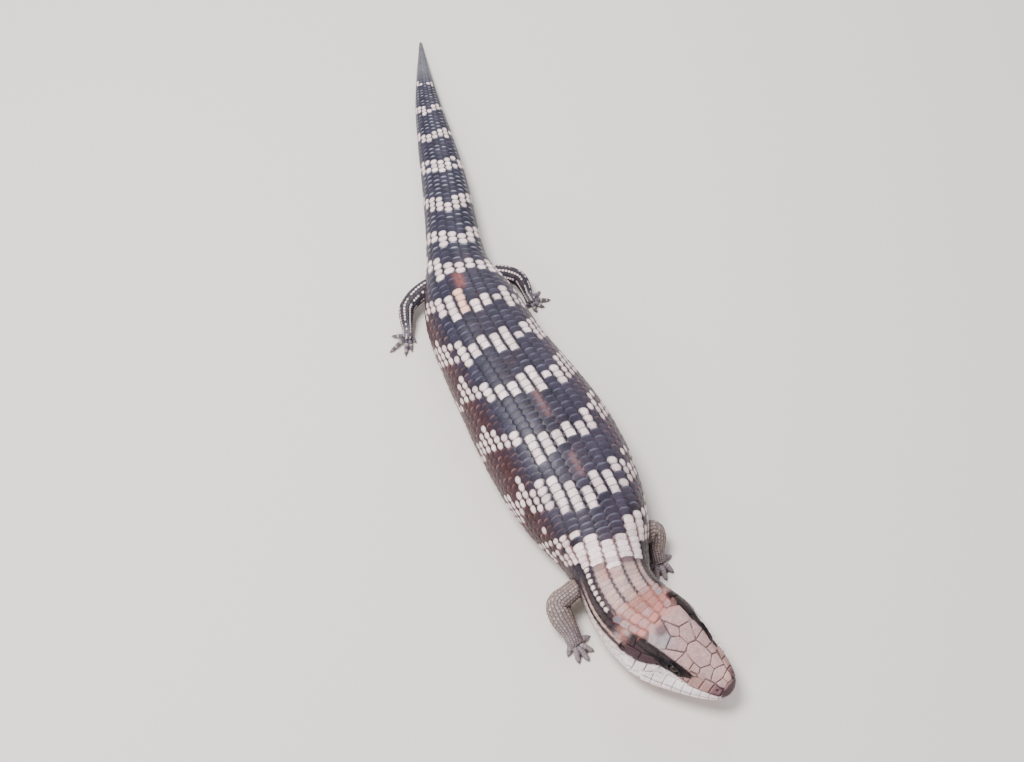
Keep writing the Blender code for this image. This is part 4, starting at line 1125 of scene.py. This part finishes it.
def grid_normals(grid):
    """The way out of a closed tube's grid, kept the same on both sides of its closing column."""
    out = normals_of(np.concatenate([grid[:, -2:-1], grid, grid[:, 1:2]], axis=1))[:, 1:-1]
    return out * np.sign(np.sum(out * (grid - grid.mean(axis=1, keepdims=True)), axis=-1).mean())


def limb_rows(path, palm, toes, sizes):
    """The leg's rows, and after them the rows of the palm, from the wrist to the roots of the toes."""
    centre = np.array([*palm, sizes[2]])
    last, before = np.array(path[-1], float), np.array(path[-2], float)
    front = np.array([*np.mean([toe[:2] for toe in toes], axis=0), sizes[3]])
    width = 0.5 * math.dist(toes[0][:2], toes[-1][:2]) + 0.6
    near = last[:3] + 1.6 * unit(last[:3] - before[:3])
    return [*path, (*(0.45 * near + 0.55 * centre), 0.5 * (last[3] + width), 3.6), (*centre, width, 3.1),
            (*(0.35 * centre + 0.65 * front), width * 0.92, 2.5)]


LIMB_STATIONS = 90
LIMB_AROUND = 48
PALM_END = 1.2
LIMB_SHEETS = {}
for name, limb in LIMBS.items():
    spot, centre, _ = tube_sheet(limb_rows(*limb), LIMB_STATIONS, LIMB_AROUND, PALM_END)
    LIMB_SHEETS[name] = (spot, grid_normals(spot), lengths(centre))
    print(name, "is", round(lengths(centre)[-1], 1), "mm long with its palm")


def on_limb(name, along, turn, lift=0.0):
    """A place on a limb by its distance along it and the angle round it, moved out by lift."""
    spot, out, length = LIMB_SHEETS[name]
    along, turn, lift = np.broadcast_arrays(along, turn, lift)
    row = np.interp(along, length, np.arange(len(length)))
    column = turn / ROUND % 1 * (spot.shape[1] - 1)
    made = look_in(spot, row, column) + look_in(out, row, column) * lift[..., None]
    made[..., 2] = np.maximum(made[..., 2], np.clip(FLOOR_LIFT - lift, 0, 1))
    return made


# %% [markdown]
# ## Inside or outside the trunk
#
# A leg starts inside the body, so its first scales would be hidden there. Each point is measured against the slice
# of the body nearest to it: if it lies inside that outline, its scale is left out.

# %% Inside or outside the trunk
def in_trunk(points):
    """True for points inside the body's outline at their own place along the spine, which is found from the spine's
    nearest point: the distance s, the offset to the left, and the height."""
    flat = np.column_stack([FINE_X, FINE_Y])
    near = ((points[:, None, :2] - flat[None, ::4]) ** 2).sum(axis=-1).argmin(axis=1) * 4
    h = FINE_H[near]
    x, y = (points[:, :2] - flat[near]).T
    ring = sections(FINE_S[near] + x * np.sin(h) + y * np.cos(h), np.linspace(-1, 1, 129)[:-1])
    return odd_crossings(*ring, x * np.cos(h) - y * np.sin(h), points[:, 2])


# %% [markdown]
# ## Scales of the legs
#
# The legs carry small ringed scales, grey-brown with pale edges on the forelegs, and blue-black with rows of white
# dots on the hind legs. A fixed number of rows runs down each leg, so the scales grow finer with it toward the
# foot, as they do on the animal.

# %% Scales of the legs
SLATE = np.array([0.27, 0.20, 0.185])
HAND = np.array([0.22, 0.18, 0.205])
LIMB_ROWS = {"fore": 19, "hind": 16}
LIMB_DARK = {"fore": 1.15, "hind": 0.9}
# A leg's scale: its step in widths, its length in steps, half its width in rows, how deep it and its root sink, and
# how deep its place must lie in the trunk to be left out. Then the length that fills a leg's place in the bake map.
LIMB_STEP = 0.92
LIMB_LAP = 1.5
LIMB_HALF = 0.54
LIMB_SUNK = 0.13
LIMB_ROOT = 0.5
BURIED = 0.8
LONGEST_LIMB = 62
LIMB_BAKE = {"foreleg_right": (0.05, 0.80), "foreleg_left": (0.28, 0.80), "hindleg_right": (0.51, 0.80),
             "hindleg_left": (0.74, 0.80)}


def limb_ground(name, share, turn):
    """The colour of a limb by the share of its length from the body and the angle round it: darker above on the hind
    legs, paler toward the foot, whitish below."""
    share, turn = np.broadcast_arrays(share, turn)
    if name.startswith("fore"):
        colour = lay(SLATE, (SLATE * [0.75, 0.8, 0.9], 0.5 + 0.5 * np.sin(9 * share + 2 * turn)),
                     (HAND, ease(share, 0.66, 0.82)))
    else:
        colour = lay(BLUE_BLACK * 0.7, (PLUM * 0.8, 0.3 + 0.3 * np.sin(7 * share + 3 * turn)),
                     (HAND * [0.62, 0.66, 0.74], ease(share, 0.78, 0.9)))
    return mix(colour, BELLY * 0.8, 0.8 * ease(-np.sin(turn), 0.25, 0.8))


def limb_scales(name, seed):
    """Scales in rows down a limb: every second row half a step on, each a little longer than its step."""
    rng = np.random.default_rng(seed)
    spot, _, length = LIMB_SHEETS[name]
    kind = name[:4]
    rows = LIMB_ROWS[kind]
    girth = np.linalg.norm(np.diff(spot, axis=1), axis=-1).sum(axis=1)
    step = np.clip(LIMB_STEP * girth / rows, 0.9, 3)
    phase = sums(np.diff(length) / (0.5 * (step[1:] + step[:-1])))
    row, index = np.meshgrid(np.arange(rows), np.arange(1, int(phase[-1]) + 1), indexing="ij")
    row = row.ravel()
    at = np.interp(index.ravel() + 0.5 * (row % 2), phase, length)
    middle_turn = ROUND * (row + 0.5) / rows + math.pi / 2
    keep = (at < length[-1] - END_GAP) & ~in_trunk(on_limb(name, at, middle_turn, -BURIED))
    row, at, middle_turn = row[keep], at[keep], middle_turn[keep]
    count = len(row)
    width = np.interp(at, length, girth)[:, None] / rows
    size = 1 + rng.uniform(-0.05, 0.05, (count, 1))
    along = at[:, None] + (ALONG - SCALE_MIDDLE[1]) * LIMB_LAP * LIMB_STEP * width * size
    turn = middle_turn[:, None] + ACROSS * LIMB_HALF * size * ROUND / rows
    height = ((HEIGHT - LIMB_SUNK - (1 - ALONG) * LIMB_ROOT) * np.clip(width / 3.4, 0.35, 1)
              + rng.uniform(-0.04, 0.04, (count, 1)))
    tints = limb_ground(name, (along / length[-1]).clip(0, 1), turn)
    rear = ease(ALONG, 0.60, 0.95)
    if kind == "fore":
        edge = 0.25 + 0.55 * rng.random((count, 1))
        tints = mix(tints * 0.82, BELLY * [1.32, 1.22, 1.28], edge * rear)
    else:
        lined = (row % 2 == 1) & (rng.random(count) < 0.85) & (np.sin(middle_turn) > -0.3)
        dot = fade(np.hypot(ACROSS, (ALONG - 0.66) / 0.42), 0.40, 0.76)
        # Rows of white dots, and a painted blue-grey sheen on the rear edges of some scales.
        tints = lay(tints, (CREAM * 0.95, lined[:, None] * dot),
                    (BLUE_GREY * 0.9, 0.30 * rear * rng.random((count, 1))))
    tints = tints * rng.uniform(0.85, 1.15, (count, 1, 1))
    left, foot = LIMB_BAKE[name]
    roots = np.stack([left + 0.20 * at / LONGEST_LIMB, foot - 0.09 + 0.18 * (middle_turn / ROUND % 1)], axis=-1)
    return lay_scales(name + "_scales", on_limb(name, along, turn, height), tints,
                      np.full(count, LIMB_DARK[kind]), roots)


limb_pieces = [limb_scales(name, 31 + k) for k, name in enumerate(LIMBS)]

# %% [markdown]
# ## Toes and claws
#
# Each toe is sheathed in a single row of broad scutes, each lapping the next like the plates of a glove, and ends in
# a small curved claw. The sheath is one tube whose radius rises slowly along each scute and drops at its end. The
# claw is a cone along a short curve that bends down to the ground.

# %% Toes and claws
# The length of a scute, the grid of a sheath, and the toes' step and height in the bake map.
SCUTE = 1.15
TOE_STATIONS = 46
TOE_AROUND = 16
TOE_BAKE = (0.035, 0.93)
HORN_DARK = np.array([0.10, 0.075, 0.065])
HORN_PALE = np.array([0.36, 0.31, 0.28])


def closed_tube(grid, tint):
    """Points, faces and colours of a tube's grid, without its doubled column and with both ends closed by a pole."""
    ring = grid[:, :-1]
    rows, count = ring.shape[:2]
    points = np.concatenate([ring.reshape(-1, 3), ring[0].mean(axis=0)[None], ring[-1].mean(axis=0)[None]])
    quads = rings_of_faces(rows, count)
    poles = np.concatenate([fan_of_faces(0, count, rows * count)[:, [1, 0, 2]],
                            fan_of_faces((rows - 1) * count, count, rows * count + 1)])
    a, b, c = (points[quads[:, k]] for k in range(3))
    turn = 1 if np.sum(np.cross(b - a, c - a) * (a - points.mean(axis=0))) > 0 else -1
    tint = np.broadcast_to(tint, grid.shape)[:, :-1].reshape(-1, 3)
    return points, [quads[:, ::turn], poles[:, ::turn]], np.concatenate([tint, tint[:1], tint[-1:]])


def scaled_about(centre, grid, share):
    """A tube's grid with every ring drawn toward its middle."""
    return centre[:, None] + (grid - centre[:, None]) * share


def toe_grids(toes, sizes):
    """For each toe, the grid and the middle line of its sheath, and the grid of its claw."""
    toe, claw, _, root_height = sizes
    last = TOE_STATIONS - 1
    made = []
    for x, y, *tip in toes:
        root, tip = np.array([x, y, root_height]), np.array([*tip, 0.0])
        flat = (tip - root) * [1, 1, 0]
        reach = np.linalg.norm(flat) - claw
        flat = unit(flat)
        end = root + flat * reach
        rows = [(*(root - 2.2 * flat), toe, toe), (*(root + 0.30 * reach * flat + [0, 0, 0.2]), toe, toe),
                (*(root + 0.7 * reach * flat - [0, 0, 0.7]), 0.92 * toe, 0.92 * toe),
                (end[0], end[1], 0.75 * toe, 0.8 * toe, 0.8 * toe)]
        sheath, centre, ahead = tube_sheet(rows, TOE_STATIONS, TOE_AROUND, 0.7 * toe)
        nail = [(*(centre[last] - 0.8 * ahead[last] + [0, 0, 0.25]), 0.62 * toe, 0.62 * toe),
                (*(end + 0.45 * claw * flat - [0, 0, end[2] - 1.05]), 0.42 * toe, 0.45 * toe),
                (tip[0], tip[1], 0.3, 0.12, 0.15)]
        made.append((sheath, centre, tube_sheet(nail, 12, 10, 0.1)[0]))
    return made


def sheathe(name, seed):
    """Joins a foot's toe sheaths into one piece, and its claws into another."""
    rng = np.random.default_rng(seed)
    _, _, plan, sizes = LIMBS[name]
    hind = name.startswith("hind")
    toes, nails = [], []
    for index, (sheath, centre, nail) in enumerate(toe_grids(plan, sizes)):
        length = lengths(centre)
        part = (length / SCUTE + rng.random()) % 1
        swell = 0.93 + 0.09 * part - 0.05 * ease(part, 0.88, 1.0)
        grid = scaled_about(centre, sheath, swell[:, None, None])
        grid[..., 2] = np.maximum(grid[..., 2], 0)
        up = ease((sheath - centre[:, None])[..., 2] / sizes[0], -0.7, 0.2)
        tint = mix(BELLY * 0.7, HAND * [0.50, 0.52, 0.60] if hind else HAND, up)
        # Painted shade at the root of each scute, where the scute before it laps over.
        tint = tint * (1 - 0.75 * fade(part, 0.02, 0.22))[:, None, None] * rng.uniform(0.9, 1.1)
        if hind:
            ringed = (np.floor(length / SCUTE) % 3 == 1)[:, None] * ease(part, 0.25, 0.5)[:, None] * up
            tint = mix(tint, CREAM * 0.75, 0.7 * ringed)
        patches = np.column_stack([np.tile(np.arange(TOE_AROUND) / TOE_AROUND, len(length)),
                                   np.repeat(length / length[-1], TOE_AROUND)])
        patches = [LIMB_BAKE[name][0] + TOE_BAKE[0] * index, TOE_BAKE[1]] + PATCH * patches
        toes.append((*closed_tube(grid, tint), np.concatenate([patches, patches[:1], patches[-1:]])))
        horn = mix(HORN_DARK, HORN_PALE, ease(np.linspace(0, 1, len(nail)), 0.25, 0.9))
        nails.append((*closed_tube(nail, horn[:, None]), None))
    foot = name.replace("leg", "foot")
    return join(foot + "_toes", toes), join(foot + "_claws", nails)


toe_pieces, claw_pieces = zip(*(sheathe(name, 41 + k) for k, name in enumerate(LIMBS)))
print("faces of toes and claws:", sum(len(piece.data.polygons) for piece in toe_pieces + claw_pieces))

# %% [markdown]
# ## One skin
#
# Under the scales lies one skin with no seam: the body, the legs, the palms and the toes, each a closed tube a
# little inside the solids, melted together by a voxel remesh. It shows as the dark line between scales, so it
# carries the same markings, only darker. Blender's remesh carries the colour over from the tubes.

# %% One skin
# How deep the skin lies under the scales, under the shields and on the limbs, and the share of a toe that it fills.
# Then the grid of the trunk's tube, the size of the remesh, the skin's shade, and its height over the floor.
SKIN_DEPTH = 0.62
FACE_DEPTH = 0.32
LIMB_DEPTH = 0.38
TOE_SHARE = 0.80
SKIN_STEP = 1.2
SKIN_COLUMNS = 129
VOXEL = 0.95
SKIN_SHADE = 0.34
LOWEST = 0.05


def skin_shells():
    """Closed tubes of points, faces and colours for the trunk, the limbs and the toes."""
    front = STATIONS[(STATIONS > 0.8) & (STATIONS < RELIEF_END)][::2]
    s = np.concatenate([front, np.arange(RELIEF_END + 0.5, TAIL_END - 1.5, SKIN_STEP)])[:, None]
    a = np.linspace(-1, 1, SKIN_COLUMNS) * half_arc(s)
    s = s + 0 * a
    under_shields = fade(s, 46, 54) * fade(np.abs(share_at(s, a)), 0.60, 0.68)
    depth = np.interp(s, [0, 400, TAIL_END], [SKIN_DEPTH, SKIN_DEPTH, 0.2])
    grid = on_body(s, a, -(depth + (FACE_DEPTH - depth) * under_shields))
    grid[:, -1] = grid[:, 0]
    bands = ease(in_band(s, a), -0.5, 1.5) * fade(np.abs(a) / half_arc(s), 0.70, 0.78)
    tint = lay(ground(s, a), (CREAM * 0.8, bands), (INK, fade(away(s, a, EAR), 0.8, 1.1)),
               (INK, fade(away(s, a, EYE), 0.9, 1.3)))
    shells = [(grid, tint)]
    for name, (_, _, plan, sizes) in LIMBS.items():
        spot, out, length = LIMB_SHEETS[name]
        turn = np.linspace(0, ROUND, spot.shape[1])
        shells.append((spot - LIMB_DEPTH * out, limb_ground(name, (length / length[-1])[:, None], turn[None])))
        shells += [(scaled_about(centre, sheath, TOE_SHARE), HAND * 0.8)
                   for sheath, centre, _ in toe_grids(plan, sizes)]
    return [(*closed_tube(grid, tint * SKIN_SHADE), None) for grid, tint in shells]


skin = join("skin", skin_shells())
bpy.context.view_layer.objects.active = skin
skin.select_set(True)
skin.data.remesh_voxel_size = VOXEL * MM
skin.data.use_remesh_preserve_attributes = True
skin.data.use_remesh_fix_poles = False
bpy.ops.object.voxel_remesh()
skin.select_set(False)
heights = np.empty(3 * len(skin.data.vertices), np.float32)
skin.data.vertices.foreach_get("co", heights)
heights[2::3] = np.maximum(heights[2::3], LOWEST * MM)
skin.data.vertices.foreach_set("co", heights)
skin.data.shade_smooth()
print("skin:", len(skin.data.polygons), "faces, colour kept:", "tint" in skin.data.attributes)

# %% [markdown]
# ## Eyes and lids
#
# The eye is a dark, wet ball a little longer than it is high, with a round pupil and a thin brown iris. It sits in
# its socket so that only the cap shows, and a fleshy rim runs round the opening. The ball is a sphere of rings round
# its outward axis, so that the iris is simply a ring of it.

# %% Eyes and lids
EYE_RADII = (3.75, 3.0, 3.2)
EYE_DEPTH = 1.75
RIM_RADIUS = 0.36
RIM_SUNK = 0.30
PUPIL = np.array([0.004, 0.003, 0.003])
IRIS = np.array([0.022, 0.012, 0.008])


def eyeball(name, sign):
    """A sphere stretched along the face, up it and outward, in rings from the middle of the pupil back."""
    s = np.array([EYE[0], EYE[0] + 1])
    held = look_up(SHEET, s, sign * EYE[1])
    out = look_up(SHEET_OUT, s, sign * EYE[1])[0]
    along = held[1] - held[0]
    along = unit(along - out * (along @ out))
    up = np.cross(out, along)
    up = up * np.sign(up[2])
    out = unit(out)
    tilt = np.linspace(0.02, math.pi - 0.02, 48)[:, None, None]
    turn = np.linspace(0, ROUND, 49)[None, :, None]
    grid = (held[0] - out * EYE_DEPTH + EYE_RADII[0] * np.sin(tilt) * np.cos(turn) * along
            + EYE_RADII[1] * np.sin(tilt) * np.sin(turn) * up + EYE_RADII[2] * np.cos(tilt) * out)
    return make(name, *closed_tube(grid, mix(PUPIL, IRIS, hill(tilt[..., 0], 0.30, 0.34, 0.62, 0.72))))


def lid_rim(name, sign):
    """A soft rim round the eye's opening: a small circle carried round the oval."""
    turn = np.linspace(0, ROUND, 73)
    s = EYE[0] + (EYE[2] + 0.05) * np.cos(turn)
    a = sign * (EYE[1] + (EYE[3] + 0.05) * np.sin(turn))
    out = look_up(SHEET_OUT, s, a)
    path = look_up(SHEET, s, a) + out * (relief(s, a, [MOUND_BELL]) - RIM_SUNK)[:, None]
    ahead = np.gradient(path, axis=0)
    ahead[0] = ahead[-1] = path[1] - path[-2]
    side = np.cross(unit(ahead), out)
    around = np.linspace(0, ROUND, 13)[:-1, None]
    swell = RIM_RADIUS * (1 + 0.12 * np.sin(turn * 15))[:, None, None]
    ring = (path[:, None] + swell * (np.cos(around) * side[:, None] + np.sin(around) * out[:, None]))[:-1]
    rows, count = ring.shape[:2]
    return make(name, ring.reshape(-1, 3), [rings_of_faces(rows, count, closed=True)[:, ::sign]],
                np.broadcast_to(INK * 1.3, (rows * count, 3)))


eyes = [eyeball("left_eye", 1), eyeball("right_eye", -1)]
lids = [lid_rim("left_lid_rim", 1), lid_rim("right_lid_rim", -1)]
print("eyes and lid rims made")


# %% [markdown]
# ## Finishes
#
# A skink's scale is a hard, smooth plate with a thin glossy film over it. Its colour is the tint worked out above,
# broken up by fine flecks. The roughness wanders a little, and a faint grain of growth lines catches the light.
# All of it is made by nodes that read the tint attribute and the object's own coordinates, so the pattern stays on
# the animal in every view.

# %% Finishes
def finish(name, rough, grain, grain_size, fleck, coat_weight=0.0, specular=0.5):
    """A scaly finish. rough is the lowest and highest roughness, grain the height of the fine bumps in millimetres,
    grain_size their size in millimetres, fleck how strongly the colour wanders, coat_weight how much glossy film
    lies over it, and specular how strongly the plate itself shines."""
    made = bpy.data.materials.new(name)
    made.use_nodes = True
    nodes, links = made.node_tree.nodes, made.node_tree.links
    shader = nodes["Principled BSDF"]

    def add(kind, values=(), **settings):
        """A node of a kind, with its settings and the values of its sockets."""
        node = nodes.new("ShaderNode" + kind)
        for setting, value in settings.items():
            setattr(node, setting, value)
        for socket, value in dict(values).items():
            node.inputs[socket].default_value = value
        return node

    tint = add("Attribute", attribute_name="tint")
    place_node = add("TexCoord")

    def noise(size, detail, roughness=0.55):
        """A soft unevenness whose lumps are this many millimetres across."""
        texture = add("TexNoise", {"Scale": 1 / (size * MM), "Detail": detail, "Roughness": roughness})
        links.new(place_node.outputs["Object"], texture.inputs["Vector"])
        return texture.outputs["Fac"]

    def spread(value, low, high):
        """The middle part of a noise, stretched from low to high."""
        ranged = add("MapRange", {"From Min": 0.3, "From Max": 0.7, "To Min": low, "To Max": high})
        links.new(value, ranged.inputs["Value"])
        return ranged.outputs["Result"]

    shade = add("Mix", data_type="RGBA", blend_type="MULTIPLY")
    shade.inputs["Factor"].default_value = 1.0
    flecks = add("Math", operation="MULTIPLY")
    links.new(spread(noise(0.9, 3), 1 - fleck, 1 + 0.6 * fleck), flecks.inputs[0])
    links.new(spread(noise(3.4, 4, 0.65), 1 - 0.7 * fleck, 1 + 0.7 * fleck), flecks.inputs[1])
    grey = add("CombineColor")
    for socket in ("Red", "Green", "Blue"):
        links.new(flecks.outputs["Value"], grey.inputs[socket])
    links.new(tint.outputs["Color"], shade.inputs["A"])
    links.new(grey.outputs["Color"], shade.inputs["B"])
    links.new(shade.outputs["Result"], shader.inputs["Base Color"])
    links.new(spread(noise(2.6, 2), *rough), shader.inputs["Roughness"])
    bump = add("Bump", {"Strength": 1.0, "Distance": grain * MM})
    links.new(noise(grain_size, 4, 0.6), bump.inputs["Height"])
    links.new(bump.outputs["Normal"], shader.inputs["Normal"])
    for socket, value in (("Specular IOR Level", specular), ("Coat Weight", coat_weight), ("Coat Roughness", 0.25)):
        shader.inputs[socket].default_value = value
    return made


def dress(pieces, material):
    """Gives a finish to pieces, and lets them ride on the body."""
    for piece in pieces:
        piece.data.materials.append(material)
        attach(piece, "root")


SHIELD_FINISH = finish("shield_horn", (0.36, 0.52), 0.10, 0.8, 0.22, 0.02, 0.13)
COAT_FINISH = finish("glossy_scale", (0.30, 0.46), 0.08, 0.7, 0.22, 0.03, 0.17)
LIMB_FINISH = finish("leg_scale", (0.42, 0.60), 0.08, 0.6, 0.20, 0.0, 0.35)
SKIN_FINISH = finish("bare_skin", (0.55, 0.72), 0.12, 0.6, 0.22)
CLAW_FINISH = finish("claw_horn", (0.30, 0.42), 0.03, 0.4, 0.15)
EYE_FINISH = finish("wet_eye", (0.05, 0.09), 0.0, 1.0, 0.2, 0.0, 0.30)
dress([head_shields, face_scales], SHIELD_FINISH)
dress(coat_pieces[:1], COAT_FINISH)
dress(coat_pieces[1:4], COAT_FINISH)
dress(coat_pieces[4:], COAT_FINISH)
for pieces in (limb_pieces, toe_pieces):
    dress(pieces[:2], LIMB_FINISH)
    dress(pieces[2:], LIMB_FINISH)
dress(claw_pieces[:2], CLAW_FINISH)
dress(claw_pieces[2:], CLAW_FINISH)
dress([skin] + lids, SKIN_FINISH)
dress(eyes, EYE_FINISH)
FLESH = [node for node in frame["nodes"] if not node.startswith("eye")]
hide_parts(*FLESH)
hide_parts("eye_left")
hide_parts("eye_right")
print("finishes on", len(coat_pieces) + len(limb_pieces) + len(toe_pieces) + len(claw_pieces) + 7, "pieces")

# %% [markdown]
# ## The stage
#
# A plain pale floor, soft light from large panels and a pale sky, as in a museum's photo studio. The camera stands
# where the photograph was taken from: above and in front of the animal's right side, looking down at 60 degrees.

# %% The stage
FLOOR_HALF = 8.0
floor_mesh = bpy.data.meshes.new("floor")
floor_mesh.from_pydata([(x * FLOOR_HALF, y * FLOOR_HALF, 0) for x, y in ((-1, -1), (1, -1), (1, 1), (-1, 1))], [],
                       [(0, 1, 2, 3)])
floor = bpy.data.objects.new("floor", floor_mesh)
bpy.context.scene.collection.objects.link(floor)
floor_finish = bpy.data.materials.new("pale_floor")
floor_finish.use_nodes = True
floor_shader = floor_finish.node_tree.nodes["Principled BSDF"]
floor_shader.inputs["Base Color"].default_value = (0.72, 0.69, 0.66, 1)
floor_shader.inputs["Roughness"].default_value = 0.9
floor.data.materials.append(floor_finish)

world = bpy.data.worlds.new("sky")
bpy.context.scene.world = world
world.use_nodes = True
world.node_tree.nodes["Background"].inputs["Color"].default_value = (1.0, 0.97, 0.96, 1)
world.node_tree.nodes["Background"].inputs["Strength"].default_value = 0.48


def set_up(name, data, spot, aim):
    """Stands a light or a camera at spot, turned to look at aim."""
    x, y, z = np.array(spot, float) - np.array(aim, float)
    made = bpy.data.objects.new(name, data)
    made.location = spot
    made.rotation_euler = (math.atan2(math.hypot(x, y), z), 0, math.atan2(x, -y))
    bpy.context.scene.collection.objects.link(made)
    return made


def panel(name, spot, aim, size, power, colour):
    """A square light of the given size at spot, turned to aim."""
    light = bpy.data.lights.new(name, "AREA")
    light.size = size
    light.energy = power
    light.color = colour
    set_up(name, light, spot, aim)


panel("key_light", (-0.35, 0.20, 1.25), (0, 0, 0), 0.5, 29, (1, 0.97, 0.94))
panel("side_light", (-0.95, -0.75, 0.75), (0, -0.05, 0), 0.6, 9, (1, 0.97, 0.96))
panel("back_light", (0.45, 1.0, 0.8), (0, 0, 0), 0.6, 7, (0.93, 0.95, 1))

lens = bpy.data.cameras.new("camera")
lens.lens = 57.09
lens.sensor_width = 36
bpy.context.scene.camera = set_up("camera", lens, (-0.1630, -0.3993, 0.7993), (0.0016, 0.0318, 0.0))

# %% The last line
bpy.context.view_layer.update()
